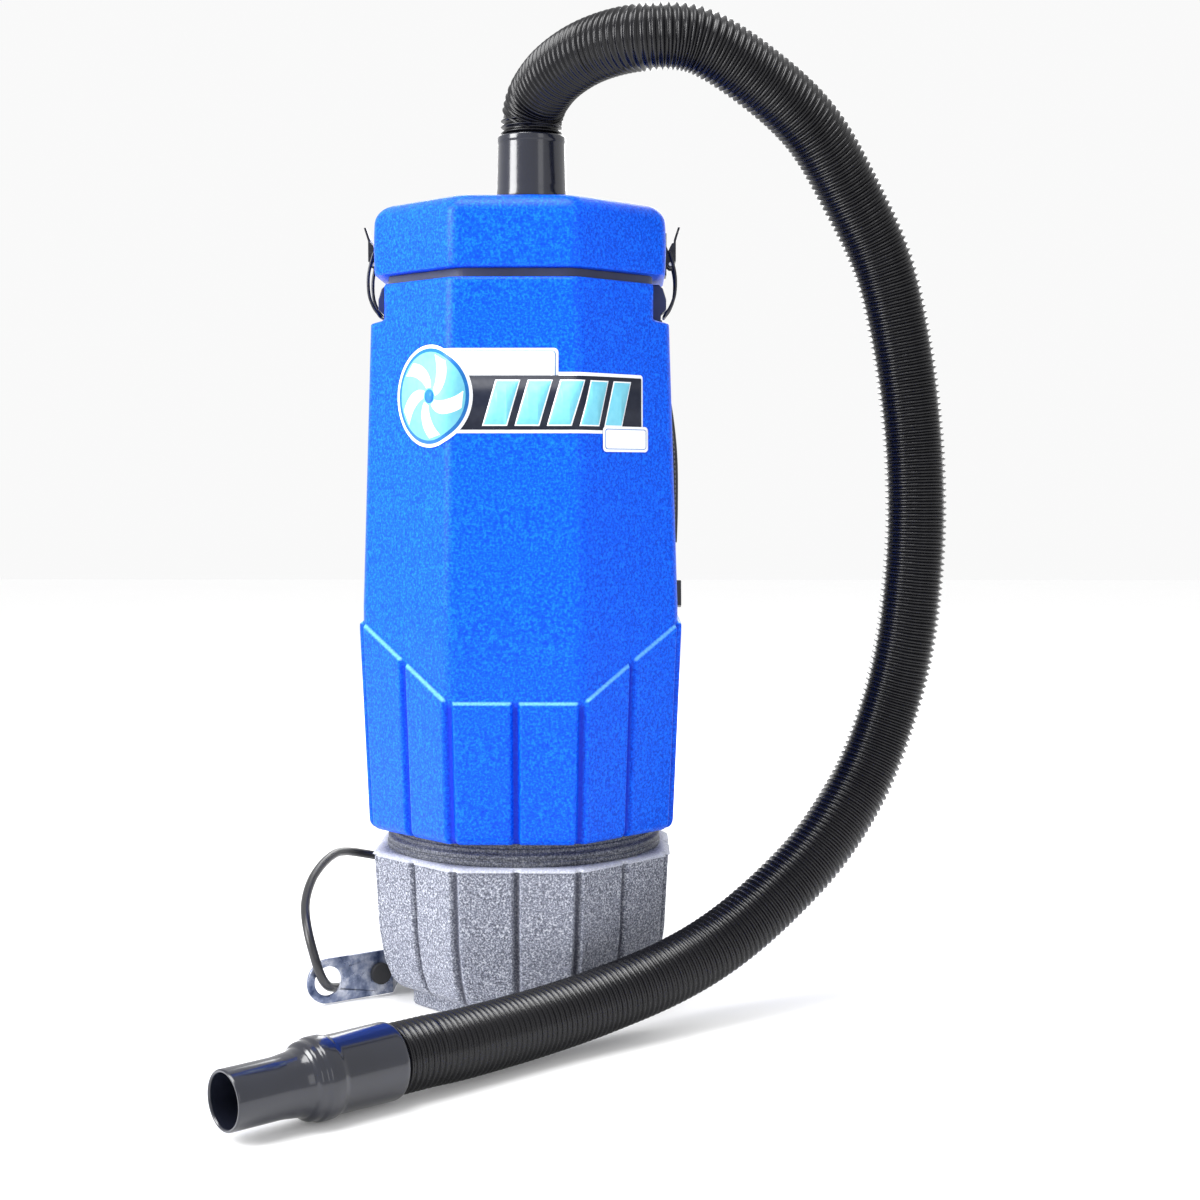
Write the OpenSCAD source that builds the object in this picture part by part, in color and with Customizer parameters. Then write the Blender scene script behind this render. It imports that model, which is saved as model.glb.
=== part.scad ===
// Backpack vacuum cleaner. Millimetres, +Z up, the front faces -Y.
// The origin is the centre of the base's underside.

/* [Tank] */
// Widest distance across the tank's flats
tank_w = 231; // [210:1:250]
// Height of the tank's top edge above the floor
tank_top = 534; // [500:1:600]
// Height of the tank's bottom edge above the floor
tank_bottom = 135; // [130:1:145]
// How much narrower each side is at the top edge than at the widest level
tank_draft_top = 7.5; // [2:0.5:10]
// How much narrower each side is at the bottom edge than at the widest level
tank_draft_bottom = 6; // [2:0.5:8]
// Wall of the moulded shells
wall = 3.5; // [2.5:0.1:4.5]
// Radius of the octagon's corners
corner_r = 14; // [6:1:20]

/* [Lid] */
// Height of the lid above the seal
lid_h = 56; // [45:1:70]
// Thickness of the foam seal under the lid
gasket_h = 7; // [4:0.5:10]
// Width of each side of the lid, less than the tank's widest side by this
lid_inset = 9.5; // [8:0.5:12]

/* [Motor base] */
// Height of the base's body, up to its top edge
base_h = 118; // [112:1:122]
// Height of the recessed foot
foot_h = 14; // [8:1:16]
// How much narrower each side of the foot is than the base's top edge
foot_inset = 25; // [22:1:32]

/* [Hose] */
// Outer diameter of the hose
hose_d = 46; // [40:1:48]
// Wall of the hose, with its ribs
hose_wall = 2.5; // [1.5:0.5:4]
// Height of the swivel cuff on the lid
cuff_h = 47; // [40:1:60]
// How far the inlet stands to the right of the body's axis
inlet_x = 7; // [0:1:12]
// Outer radius of the inlet's spigot
spigot_r = 20; // [18:0.5:20]
// Radius of the free end of the tool cuff, for 38 mm tools
tool_r = 19; // [17:0.5:19.5]
// Radius of the bore in the tool cuff
tool_bore_r = 16.5; // [14:0.5:16.5]
// Straight length of the tool cuff's free end
tool_end_l = 38; // [30:1:45]

/* [Cord] */
// Diameter of the power pigtail
cord_d = 7; // [5:0.5:7]
// Length of the tapered strain relief
gland_l = 30; // [20:1:30]

/* [Motor] */
// Distance from the fan case to the plane of the base's sides
fan_gap = 36; // [34:1:42]
// Radius of the motor shaft
shaft_r = 4; // [3:0.5:5]
// Radial clearance of turning fits
run_gap = 0.05; // [0.02:0.01:0.1]
// Outer radius of the armature
armature_r = 23.5; // [20:0.5:25]
// Gap between the armature and the stator
air_gap = 0.8; // [0.5:0.1:1.2]
// Outer radius of the stator
stator_r = 42.5; // [38:0.5:43]

/* [Filters] */
// Distance from the filter bag to the plane of the latch notches
bag_gap = 13; // [13:1:24]
// Radius of the intake hole in the tank's floor
intake_r = 40; // [30:1:44]

/* [Latches] */
// Half of the width of a latch lever
lever_half = 11; // [9:0.5:12]
// Radius of the latch's pivot pin
latch_pin_r = 1.5; // [1.2:0.1:1.8]
// Radius of the bail's wire
wire_r = 1.2; // [0.8:0.1:1.2]

/* [Harness] */
// Width of the back plate
plate_w = 180; // [160:2:200]
// Thickness of the back plate
plate_t = 5; // [4:0.5:6]
// Thickness of the back pad
pad_t = 20; // [14:1:22]
// Width of a shoulder strap
strap_w = 55; // [45:1:60]
// Thickness of a shoulder strap
strap_t = 12; // [8:1:14]
// Width of the strap webbing
webbing_w = 25; // [20:1:30]

/* [Hidden] */
$fn = 48;

sides = 8;
corner_steps = 4;
fit = 0.3;
slip = 0.1;

// Half widths and levels of the shells
tank_half = tank_w / 2;
waist_low = 283;
waist_high = 300;
tank_levels = [[tank_bottom, tank_half - tank_draft_bottom], [waist_low, tank_half], [waist_high, tank_half],
    [tank_top, tank_half - tank_draft_top]];
cavity_levels = [[tank_bottom + wall, tank_half - tank_draft_bottom], tank_levels[1], tank_levels[2],
    [tank_top - wall, tank_half - tank_draft_top]];
lid_bottom = tank_top + gasket_h;
lid_half = tank_half - lid_inset;
lid_top = lid_bottom + lid_h;
lid_levels = [[lid_bottom, lid_half], [lid_top - 17, lid_half], [lid_top - 9, lid_half - 4],
    [lid_top - 5, lid_half - 14], [lid_top, 40]];
base_half = tank_half - 8.5;
base_levels = [[foot_h, base_half - 15], [foot_h + 21, base_half - 7], [foot_h + 46, base_half - 3],
    [base_h, base_half]];
foot_half = base_half - foot_inset;
fan_r = base_half - fan_gap;

// Latch notches in the tank's sides
notch_x = tank_half - 18.5;
notch_y = 60;
notch_z = tank_top - 26;

// Tank mouth, filters and neck
bag_r = notch_x - bag_gap;
mouth_half = bag_r + 4.5;
seal_out = notch_x - 0.5;
cloth_r = bag_r + 2;
cloth_wall = 1.5;
cloth_rim = cloth_r + cloth_wall + 4;
tank_floor = tank_bottom + wall;
bag_bottom = tank_floor + 28;
bag_top = tank_top - 14;
screw_ring = bag_r + 10;

// Label: a banner with a round badge at its left end, and a tab above and below it, each [x0, x1, z0, z1]
label_t = 0.5;
banner = [-45, 88, tank_top - 108, tank_top - 66];
upper_tab = [-45, 29.5, banner[3] - 1, banner[3] + 15];
lower_tab = [59, 91, banner[2] - 12, banner[2] + 4];
badge_r = 36;
badge_shift = 26.6;

// Latches, drawn for the right side
pivot = [lid_half + 4.8, lid_bottom + 12];
bail_eye = [pivot[0] - 0.6, pivot[1] + 7.5];
bail_foot = [notch_x + 9, notch_z + 6.5];
bail_half = lever_half + 2.5;
ear_in = lever_half - 4.5;
ear_out = lever_half - 2.5;
bracket_t = 1.5;

// Motor levels
case_top = tank_bottom - 3;
case_bottom = case_top - 44;
shaft_bottom = 22;
impeller_z = case_bottom + 11;
impeller_r = fan_r - 8;
core_z = 52;
core_h = 24;
comm_r = 11;
comm_z = 36;
frame_bottom = 20;
bearing_r = 11;
slot_r = 6;

// Switch, cord gland and strain plate on the base
switch_z = 88;
switch_face = base_half - 0.4;
rocker_tilt = 8;
gland_z = 80;
gland_r = 7;
gland_face = base_half - 1.5;
gland_tip = gland_face + gland_l;
tab_x = base_half - 7;
plate_pad_y = [8, 28];
bar_t = 3;
bar_h = 34;
bar_turn = 215;
bar_start = [-tab_x - bar_t / 2, -5];
bar_l = 54;
bar_z = 18;
bar_end = bar_start + (bar_l + bar_h) * [cos(bar_turn), sin(bar_turn)];

// Harness levels and depths
plate_y = tank_half + 2.5;
plate_back = plate_y + plate_t;
plate_low = 140;
plate_high = tank_top - 34;
pad_y = plate_back + fit;
boss_r = 9;
boss_x = 32;
boss_z = [plate_low + 65, plate_high - 45];
screw_r = 2.4;

cuff_z = lid_top + 4.3;

// The hose's route, from the inlet cuff to the tool cuff
hose_r = hose_d / 2;
hose_route = [[inlet_x, 0, cuff_z + cuff_h - 0.1], [inlet_x, 0, 661], [13, -12, 676], [29, -38, 689],
    [55, -66, 698], [89, -88, 701], [128, -86, 699], [172, -70, 676], [211, -50, 645],
    [242, -30, 600], [268, -15, 550], [284, -5, 490],
    [293, 0, 430], [296, 0, 378], [295, 0, 330], [289, 0, 272], [277, 0, 219], [256, -10, 167], [224, -30, 121],
    [187, -50, 86], [148, -73, 59], [108, -100, 42], [60, -135, 31], [17, -171, 26], [-28, -214, 25],
    [-50, -234.8, 26], [-72, -254.6, 26]];
tool_turn = 222;
sleeve_l = 50;
step_l = 16;

// The pigtail's route, from its strain relief to its plug
cord_route = [[-106, 105.2, 80.3], [-113, 108.6, 81.2], [-121, 110, 82.4], [-129.5, 108.8, 84.3],
    [-137.5, 105, 86.5], [-144.5, 98.5, 89], [-150, 89, 91.3], [-155, 74, 93], [-159.5, 55, 91.8],
    [-163, 36, 88.5], [-165.3, 17, 84], [-166, -2, 77.8], [-165, -18.5, 71], [-162, -33, 63],
    [-158, -43.2, 52.5], [-153.8, -48, 40.5], [-150.5, -47.2, 28.5], [-147.8, -41.5, 19.2],
    [-145.4, -32.5, 12.8], [-142.6, -21, 9], [-138.5, -9, 6.4], [-132, 3, 4.8], [-123, 16.5, 4.1],
    [-112, 31, 4], [-102, 46, 4], [-94, 62, 4], [-89, 80, 4], [-86, 100, 4], [-84, 120, 4],
    [-80, 138, 4.6], [-72.5, 153, 8], [-60, 164.5, 13], [-47, 171.5, 16], [-33, 173.5, 16]];
plug_r = 16;
plug_l = 49;

// Strap routes, from the back plate to the webbing, for the left and right shoulders
pad_mid = plate_back + 2 * fit + strap_t / 2;
strap_top = plate_high;
strap_left = [[-45, pad_mid, strap_top - 24], [-45.5, pad_mid, strap_top], [-50, pad_mid + 14, strap_top + 20],
    [-56, pad_mid + 38, strap_top + 25], [-63, pad_mid + 59, strap_top + 8],
    [-70, pad_mid + 69, strap_top - 30], [-76, pad_mid + 72, strap_top - 80],
    [-80, pad_mid + 69, strap_top - 130], [-82, pad_mid + 61, strap_top - 175]];
strap_right = [[45, pad_mid, strap_top - 24], [46, pad_mid, strap_top], [54, pad_mid + 14, strap_top + 20],
    [64, pad_mid + 38, strap_top + 25], [76, pad_mid + 59, strap_top + 8], [88, pad_mid + 69, strap_top - 30],
    [96, pad_mid + 72, strap_top - 80], [98, pad_mid + 69, strap_top - 130],
    [98, pad_mid + 60, strap_top - 170]];
webbing_y = plate_back + 2.5;
webbing_route_left = concat([after_end(strap_left, fit), after_end(strap_left, 9)],
    [[-82, pad_mid + 50, strap_top - 210], [-78, pad_mid + 38, strap_top - 245],
    [-70, pad_mid + 25, plate_low + 82],
    [-60, pad_mid + 10, plate_low + 50], [-54, webbing_y, plate_low + 28], [-52, webbing_y, plate_low + 10]]);
webbing_route_right = concat([after_end(strap_right, fit), after_end(strap_right, 9)],
    [[104, pad_mid + 50, strap_top - 204], [94, pad_mid + 41, strap_top - 234],
    [73, pad_mid + 27, plate_low + 92],
    [60, pad_mid + 12, plate_low + 56], [54, webbing_y, plate_low + 28], [52, webbing_y, plate_low + 10]]);
webbing_t = 2;
waist_t = 12;
waist_z = [plate_low + 20, plate_low + 103];
waist_mid = plate_back + fit + waist_t / 2;
waist_route = [[76, waist_mid], [88, waist_mid + 2.5], [98, waist_mid + 20], [103, waist_mid + 50],
    [102, waist_mid + 78], [92, waist_mid + 102], [72, waist_mid + 116]];
belt_route = [after_end(waist_route, fit), after_end(waist_route, 8), [48, waist_mid + 125],
    [31, waist_mid + 127]];
belt_z = [waist_z[0] + 22, waist_z[0] + 60];
buckle_y = belt_route[3][1];
handle_route = [[-48, -20], [-46, 0], [-34, 22], [-14, 31], [14, 31], [34, 22], [46, 0], [48, -20]];
adjuster_w = webbing_w + 17;

// ---------- helpers ----------

// Outline of a regular octagon with flat sides to the axes: half is half its width across the flats, and r is
// the radius of its corners
function octagon_points(half, r) = [for (k = [0 : sides - 1], j = [0 : corner_steps])
    let (c = (half - r) / cos(22.5), a = 45 * k + 22.5, b = 45 * k + 45 * j / corner_steps)
    [c * cos(a) + r * cos(b), c * sin(a) + r * sin(b)]];

module octagon(half, r = corner_r) polygon(octagon_points(half, r));

// Shell form through octagons at given [level, half width] pairs, made narrower by inset
module barrel(levels, inset = 0) {
    n = sides * (corner_steps + 1);
    m = len(levels);
    polyhedron(
        [for (l = levels) each [for (q = octagon_points(l[1] - inset, corner_r - inset)) [q[0], q[1], l[0]]]],
        concat([[for (k = [0 : n - 1]) k]],
            [for (i = [0 : m - 2], k = [0 : n - 1])
                let (a = i * n + k, b = i * n + (k + 1) % n) [a, a + n, b + n, b]],
            [[for (k = [n - 1 : -1 : 0]) (m - 1) * n + k]]));
}

module octagon_ring(z, h, outer, inner)
    translate([0, 0, z]) linear_extrude(h) difference() {
        octagon(outer);
        octagon(inner, corner_r - 3);
    }

module ring(z, h, outer, inner)
    translate([0, 0, z]) difference() {
        cylinder(r = outer, h = h);
        translate([0, 0, -1]) cylinder(r = inner, h = h + 2);
    }

module disc(z, h, r) translate([0, 0, z]) cylinder(r = r, h = h);

function unit(v) = v / norm(v);
function tangent(p, i) = unit(p[min(i + 1, len(p) - 1)] - p[max(i - 1, 0)]);

// Points of a Catmull-Rom curve through a route, n steps to a span
function smooth(p, n) = [for (i = [0 : len(p) - 2], j = [0 : n - 1])
    let (t = j / n, a = p[max(i - 1, 0)], b = p[i], c = p[i + 1], d = p[min(i + 2, len(p) - 1)])
    0.5 * (2 * b + (c - a) * t + (2 * a - 5 * b + 4 * c - d) * t * t + (3 * b - a - 3 * c + d) * t * t * t),
    p[len(p) - 1]];

// A smooth route whose first and last spans stay straight
function led(p, n) = let (m = len(p)) concat([p[0]], smooth([for (i = [1 : m - 2]) p[i]], n), [p[m - 1]]);
function after_end(p, d) = p[len(p) - 1] + d * unit(p[len(p) - 1] - p[len(p) - 2]);

// Rings of a section swept along a route; the section's x runs along cross(up, tangent)
function swept_rings(p, section, up) = [for (i = [0 : len(p) - 1])
    let (t = tangent(p, i), side = unit(cross(up, t)), rise = cross(t, side))
    for (s = section) p[i] + side * s[0] + rise * s[1]];

function circle_section(r, n) = [for (k = [0 : n - 1]) r * [cos(360 * k / n), sin(360 * k / n)]];
function box_section(w, t) = [[w / 2, t / 2], [-w / 2, t / 2], [-w / 2, -t / 2], [w / 2, -t / 2]];

// Solid bar of a convex section swept along a route
module sweep(p, section, up) {
    n = len(section);
    m = len(p);
    polyhedron(swept_rings(p, section, up), concat(
        [[for (k = [0 : n - 1]) k]],
        [for (i = [0 : m - 2], k = [0 : n - 1]) let (a = i * n + k, b = i * n + (k + 1) % n) each
            [[a, a + n, b], [b, a + n, b + n]]],
        [[for (k = [n - 1 : -1 : 0]) (m - 1) * n + k]]));
}

// Hollow tube of n sides along a route, open at both ends
module sweep_tube(p, r_out, r_in, n, up) {
    m = len(p);
    in = m * n;
    polyhedron(
        concat(swept_rings(p, circle_section(r_out, n), up), swept_rings(p, circle_section(r_in, n), up)),
        concat(
            [for (i = [0 : m - 2], k = [0 : n - 1]) let (a = i * n + k, b = i * n + (k + 1) % n) each
                [[a, a + n, b], [b, a + n, b + n],
                [in + a, in + b, in + a + n], [in + b, in + b + n, in + a + n]]],
            [for (k = [0 : n - 1]) let (a = k, b = (k + 1) % n) each [[a, b, in + a], [b, in + b, in + a]]],
            [for (k = [0 : n - 1]) let (o = (m - 1) * n, a = o + k, b = o + (k + 1) % n) each
                [[a, in + a, b], [b, in + a, in + b]]]));
}

// Outline of a band of even thickness along a plane route
function normal2(p, i) = let (t = tangent(p, i)) [-t[1], t[0]];
function band_points(p, t) = concat([for (i = [0 : len(p) - 1]) p[i] + normal2(p, i) * t / 2],
    [for (i = [len(p) - 1 : -1 : 0]) p[i] - normal2(p, i) * t / 2]);

module both_sides() {
    children();
    mirror([1, 0, 0]) children();
}

// Lays an XZ outline across the y axis, between -half and half
module across(half) rotate([90, 0, 0]) translate([0, 0, -half]) linear_extrude(2 * half) children();

module pin_y(at, r, half)
    translate([at[0], 0, at[1]]) rotate([90, 0, 0]) cylinder(r = r, h = 2 * half, center = true);

// ---------- tank and lid ----------

module notches(grow)
    for (s = [-1, 1])
        translate([s > 0 ? notch_x - grow : -notch_x + grow - 60, -notch_y - grow, notch_z - grow])
            cube([60, 2 * (notch_y + grow), 60]);

module boss_places()
    for (x = [-boss_x, boss_x], z = boss_z) translate([x, 0, z]) rotate([-90, 0, 0]) children();

module corner_places(r) for (k = [0 : 3]) rotate([0, 0, 45 + 90 * k]) translate([r, 0, 0]) children();

module tank() color("dodgerblue") difference() {
    union() {
        difference() {
            difference() {
                barrel(tank_levels);
                notches(0);
            }
            difference() {
                barrel(cavity_levels, wall);
                notches(wall);
            }
            translate([0, 0, tank_top - 2 * wall]) linear_extrude(4 * wall) octagon(mouth_half);
        }
        boss_places() translate([0, 0, tank_half - 8]) cylinder(r = boss_r, h = plate_y - tank_half + 8);
    }
    translate([0, 0, tank_bottom - 1]) cylinder(r = intake_r, h = 2 * wall);
    boss_places() translate([0, 0, tank_half - 3.5]) cylinder(r = screw_r + slip, h = 20);
    corner_places(screw_ring) translate([0, 0, tank_bottom - 1]) cylinder(r = screw_r + slip, h = 2 * wall);
}

module tank_seal() color("black") octagon_ring(tank_top, gasket_h, seal_out, cloth_rim + 0.5);

module label() color("white") intersection() {
    difference() {
        barrel([for (l = tank_levels) [l[0], l[1] + label_t]]);
        barrel([for (i = [0 : len(tank_levels) - 1]) let (l = tank_levels[i])
            [l[0] + (i == 0 ? -1 : i == len(tank_levels) - 1 ? 1 : 0), l[1]]]);
    }
    union() {
        for (b = [banner, upper_tab, lower_tab])
            translate([b[0], -200, b[2]]) cube([b[1] - b[0], 200, b[3] - b[2]]);
        rotate([0, 0, -45]) translate([badge_shift, -200, banner[3] - 16]) rotate([-90, 0, 0])
            cylinder(r = badge_r, h = 190);
    }
}

module lid() color("dodgerblue") difference() {
    union() {
        difference() {
            barrel(lid_levels);
            barrel([for (i = [0 : len(lid_levels) - 1])
                [lid_levels[i][0] - (i == 0 ? 1 : wall), lid_levels[i][1]]], wall);
        }
        octagon_ring(lid_bottom, wall, lid_half - 1, cloth_rim + 0.5);
    }
    translate([inlet_x, 0, lid_top - 20]) cylinder(r = spigot_r + slip, h = 40);
}

module inlet_collar() color("black") translate([inlet_x, 0, 0]) {
    ring(lid_top - 90, 115, spigot_r, spigot_r - 2.5);
    ring(lid_top, 4, 34, spigot_r - 0.5);
}

module inlet_cuff() color("black") translate([inlet_x, 0, cuff_z]) difference() {
    cylinder(r1 = hose_r + 3.5, r2 = hose_r + 2, h = cuff_h - 0.3);
    translate([0, 0, -1]) cylinder(r = spigot_r + run_gap, h = 22.7);
    translate([0, 0, 21]) cylinder(r = spigot_r - 0.5, h = cuff_h);
}

// ---------- latches ----------

module keeper() {
    across(9) polygon([[notch_x, notch_z], [notch_x + 7.5, notch_z], [notch_x + 7.5, notch_z + 3.5],
        [notch_x + 6.5, notch_z + 3.8], [notch_x + 6.5, notch_z + 7.9], [notch_x + 10.5, notch_z + 11.5],
        [notch_x + 10.5, notch_z + 19], [notch_x + 8, notch_z + 27], [notch_x + 5, notch_z + 30],
        [notch_x, notch_z + 30]]);
}
module keeper_right() color("midnightblue") keeper();
module keeper_left() color("midnightblue") mirror([1, 0, 0]) keeper();

module latch_bracket() {
    translate([lid_half, -lever_half - 1, lid_bottom + 3.5]) cube([bracket_t, 2 * lever_half + 2, 31]);
    for (s = [-1, 1])
        difference() {
            translate([0, s * (ear_in + ear_out) / 2, 0]) across((ear_out - ear_in) / 2) hull() {
                translate(pivot) circle(r = latch_pin_r + 0.5, $fn = 32);
                translate([lid_half, pivot[1] - 1.5]) square([bracket_t, 15]);
            }
            pin_y(pivot, latch_pin_r, lever_half);
        }
}
module latch_brackets() color("black") both_sides() latch_bracket();
module latch_pins() color("silver") both_sides() pin_y(pivot, latch_pin_r, lever_half);

module lever() difference() {
    union() {
        for (s = [-1, 1])
            translate([0, s * (lever_half - 1), 0]) across(1) hull() {
                translate(pivot) circle(r = 2.8);
                translate(bail_eye) circle(r = 2.2);
                translate([pivot[0] + 1.8, pivot[1] + 14]) circle(r = 1.5);
            }
        across(lever_half) polygon([[pivot[0] + 2.2, pivot[1] + 2], [pivot[0] + 3.7, pivot[1] + 2],
            [pivot[0] + 3.7, pivot[1] + 17], [pivot[0] + 6.8, pivot[1] + 27], [pivot[0] + 5.2, pivot[1] + 27],
            [pivot[0] + 2.2, pivot[1] + 18]]);
    }
    pin_y(pivot, latch_pin_r + run_gap, lever_half + 1);
    pin_y(bail_eye, wire_r + run_gap, lever_half + 1);
}
module lever_right() color("black") lever();
module lever_left() color("black") mirror([1, 0, 0]) lever();

module bail_rod(a, b, y) translate([a[0], y, a[1]])
    rotate([0, atan2(b[0] - a[0], b[1] - a[1]), 0]) cylinder(r = 0.92 * wire_r, h = norm(b - a));
module bail() {
    for (s = [-1, 1]) {
        bail_rod(bail_eye, bail_foot, s * bail_half);
        translate([bail_eye[0], s * (bail_half + wire_r + ear_out + 0.4) / 2, bail_eye[1]]) rotate([90, 0, 0])
            cylinder(r = wire_r, h = bail_half + wire_r - ear_out - 0.4, center = true);
    }
    pin_y(bail_foot, wire_r, bail_half + wire_r);
}
module bail_right() color("silver") bail();
module bail_left() color("silver") mirror([1, 0, 0]) bail();

// ---------- hose ----------

module hose() color([0.08, 0.08, 0.09])
    sweep_tube(led(hose_route, 2), hose_r, hose_r - hose_wall, 12, [0, 1, 0]);

module tool_cuff() color("black") translate(hose_route[len(hose_route) - 1])
    rotate([0, 0, tool_turn]) rotate([0, 90, 0]) rotate_extrude() polygon([
        [tool_bore_r, 0.3], [hose_r + 1, 0.3], [hose_r + 2, 4], [hose_r + 1.5, sleeve_l - 2],
        [hose_r + 3, sleeve_l], [hose_r + 3, sleeve_l + 9], [hose_r + 1.5, sleeve_l + 11],
        [hose_r + 1, sleeve_l + step_l],
        [tool_r + 2, sleeve_l + step_l + 2],
        [tool_r, sleeve_l + step_l + 16], [tool_r, sleeve_l + step_l + 16 + tool_end_l],
        [tool_bore_r, sleeve_l + step_l + 16 + tool_end_l]]);

// ---------- filters ----------

module filter_bag() color("wheat") difference() {
    disc(bag_bottom, bag_top - bag_bottom, bag_r);
    disc(bag_bottom + 1, bag_top - bag_bottom - 2, bag_r - 1);
    translate([inlet_x, 0, bag_top - 5]) cylinder(r = spigot_r + 1, h = 10);
}

module bag_collar() color("tan") difference() {
    translate([inlet_x - 55, -55, bag_top]) cube([110, 110, 2.5]);
    translate([inlet_x, 0, bag_top - 1]) cylinder(r = spigot_r + fit, h = 5);
}

module cloth_filter() color("gainsboro") {
    ring(tank_floor + 12, tank_top - tank_floor - 12, cloth_r + cloth_wall, cloth_r);
    disc(tank_floor + 12, cloth_wall, cloth_r + 0.5);
    ring(tank_top, 2.5, cloth_rim, cloth_r);
}

module dome_filter() color("lightgray") difference() {
    disc(tank_floor, 10.5, intake_r + 6);
    disc(tank_floor - 1, 7, intake_r - 6);
}

// ---------- motor base ----------

module seal_ring() color([0.25, 0.26, 0.3]) difference() {
    union() {
        ring(base_h, 8, base_half - 3.5, fan_r + 9);
        ring(base_h + 8, tank_bottom - base_h - 8, base_half - 7, fan_r + 9);
    }
    corner_places(screw_ring) disc(base_h - 1, 30, screw_r + slip);
}

module base() color([0.55, 0.57, 0.62]) difference() {
    union() {
        barrel(base_levels);
        linear_extrude(foot_h + 1) octagon(foot_half);
        for (y = plate_pad_y) translate([-tab_x, y, bar_z]) rotate([0, 90, 0]) cylinder(r = 6, h = 16);
    }
    difference() {
        union() {
            barrel([[foot_h + wall, base_levels[0][1]], base_levels[1], base_levels[2],
                [base_h - wall, base_half]], wall);
            translate([0, 0, wall]) linear_extrude(foot_h) octagon(foot_half - wall);
        }
        corner_places(screw_ring) disc(base_h - 20, 40, 7);
    }
    disc(base_h - 10, 20, fan_r + 9);
    corner_places(screw_ring) disc(base_h - 18, 30, screw_r + slip);
    for (y = plate_pad_y)
        translate([-tab_x - 1, y, bar_z]) rotate([0, 90, 0]) cylinder(r = screw_r + slip, h = 12);
    rotate([0, 0, 135]) translate([gland_face - 25, 0, gland_z]) rotate([0, 90, 0])
        cylinder(r = gland_r + slip, h = 40);
    rotate([0, 0, 45]) translate([switch_face - 26, -14, switch_z - 9]) cube([40, 28, 18]);
    for (a = [0 : 45 : 315], x = [-12, 0, 12])
        rotate([0, 0, a]) translate([foot_half - 22, x - 2, -1]) cube([14, 4, wall + 2]);
}

module base_screws() color("silver") corner_places(screw_ring) {
    disc(base_h - 16, tank_floor - base_h + 16, screw_r);
    disc(tank_floor, 2.5, 5);
}

module motor_gasket() color("black") ring(case_top, tank_bottom - case_top, fan_r - 9, intake_r);

module fan_case() color("silver") difference() {
    union() {
        disc(case_bottom, case_top - case_bottom, fan_r);
        disc(case_bottom - 4, 6, 14);
    }
    disc(case_bottom + 2, case_top - case_bottom - 3.5, fan_r - 1.5);
    disc(case_top - 5, 10, 22);
    disc(case_bottom - 5, 10, bearing_r);
    for (a = [0 : 30 : 330]) rotate([0, 0, a]) translate([50, 0, case_bottom - 1]) cylinder(r = 7, h = 4);
}

module diffuser() color("gray") {
    ring(case_bottom + 6, 1.5, fan_r - 1.5, 20);
    for (a = [0 : 40 : 320])
        rotate([0, 0, a]) translate([36, -10, case_bottom + 2]) rotate([0, 0, 25]) cube([22, 1.5, 4.2]);
}

module impeller() color("lightgray") difference() {
    union() {
        disc(impeller_z, 1.5, impeller_r);
        ring(impeller_z + 22, 1.5, impeller_r, 24);
        disc(impeller_z, 14, 10);
        for (a = [0 : 60 : 300])
            rotate([0, 0, a]) translate([26, 0, impeller_z]) rotate([0, 0, 35]) cube([32, 1.5, 22.5]);
    }
    disc(impeller_z - 1, 30, shaft_r);
}

module motor_shaft() color("silver") disc(shaft_bottom, impeller_z + 18 - shaft_bottom, shaft_r);

module armature() color("peru") difference() {
    disc(core_z, core_h, armature_r);
    disc(core_z - 1, core_h + 2, shaft_r);
    for (a = [0 : 30 : 330])
        rotate([0, 0, a]) translate([armature_r - 5, -1, core_z - 1]) cube([6, 2, core_h + 2]);
}

module commutator() color("darkgoldenrod") ring(comm_z, 13, comm_r, shaft_r);

module stator() color("dimgray") difference() {
    disc(core_z, core_h, stator_r - run_gap);
    disc(core_z - 1, core_h + 2, armature_r + air_gap);
    for (a = [45 : 90 : 315])
        rotate([0, 0, a]) translate([stator_r - slot_r - 4.5, 0, core_z - 1])
            cylinder(r = slot_r, h = core_h + 2);
}

module motor_frame() color("silver") {
    difference() {
        disc(frame_bottom, case_bottom - frame_bottom, stator_r + 2.5);
        disc(frame_bottom + 2.5, case_bottom - frame_bottom, stator_r);
        disc(frame_bottom - 1, 6, bearing_r);
        for (a = [45 : 90 : 315]) rotate([0, 0, a]) translate([25, -12, frame_bottom + 8]) cube([30, 24, 20]);
    }
    ring(frame_bottom + 2, 9, bearing_r + 3, bearing_r);
}

module bearings() color("lightsteelblue") {
    ring(case_bottom - 3, 7, bearing_r, shaft_r + run_gap);
    ring(frame_bottom + 4, 7, bearing_r, shaft_r + run_gap);
}

module carbon_brushes() color("black") for (s = [0, 180]) rotate([0, 0, s])
    translate([comm_r + 0.3, -3.3, comm_z + 2.5]) cube([18, 6.6, 6.6]);

module brush_holders() color("darkkhaki") for (s = [0, 180]) rotate([0, 0, s]) difference() {
    translate([comm_r + 3, -5, comm_z + 0.8]) cube([stator_r - 0.5 - comm_r - 3, 10, 10]);
    translate([comm_r + 2, -3.4, comm_z + 2.4]) cube([18.5, 6.8, 6.8]);
}

module motor_mount() color("black") ring(wall, frame_bottom - wall, stator_r + 3, 28);

module exhaust_filter() color("darkslategray") ring(foot_h + wall, 68, foot_half + 3, foot_half - 7);

// ---------- switch ----------

module at_switch() rotate([0, 0, 45]) translate([switch_face, 0, switch_z]) children();

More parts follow.
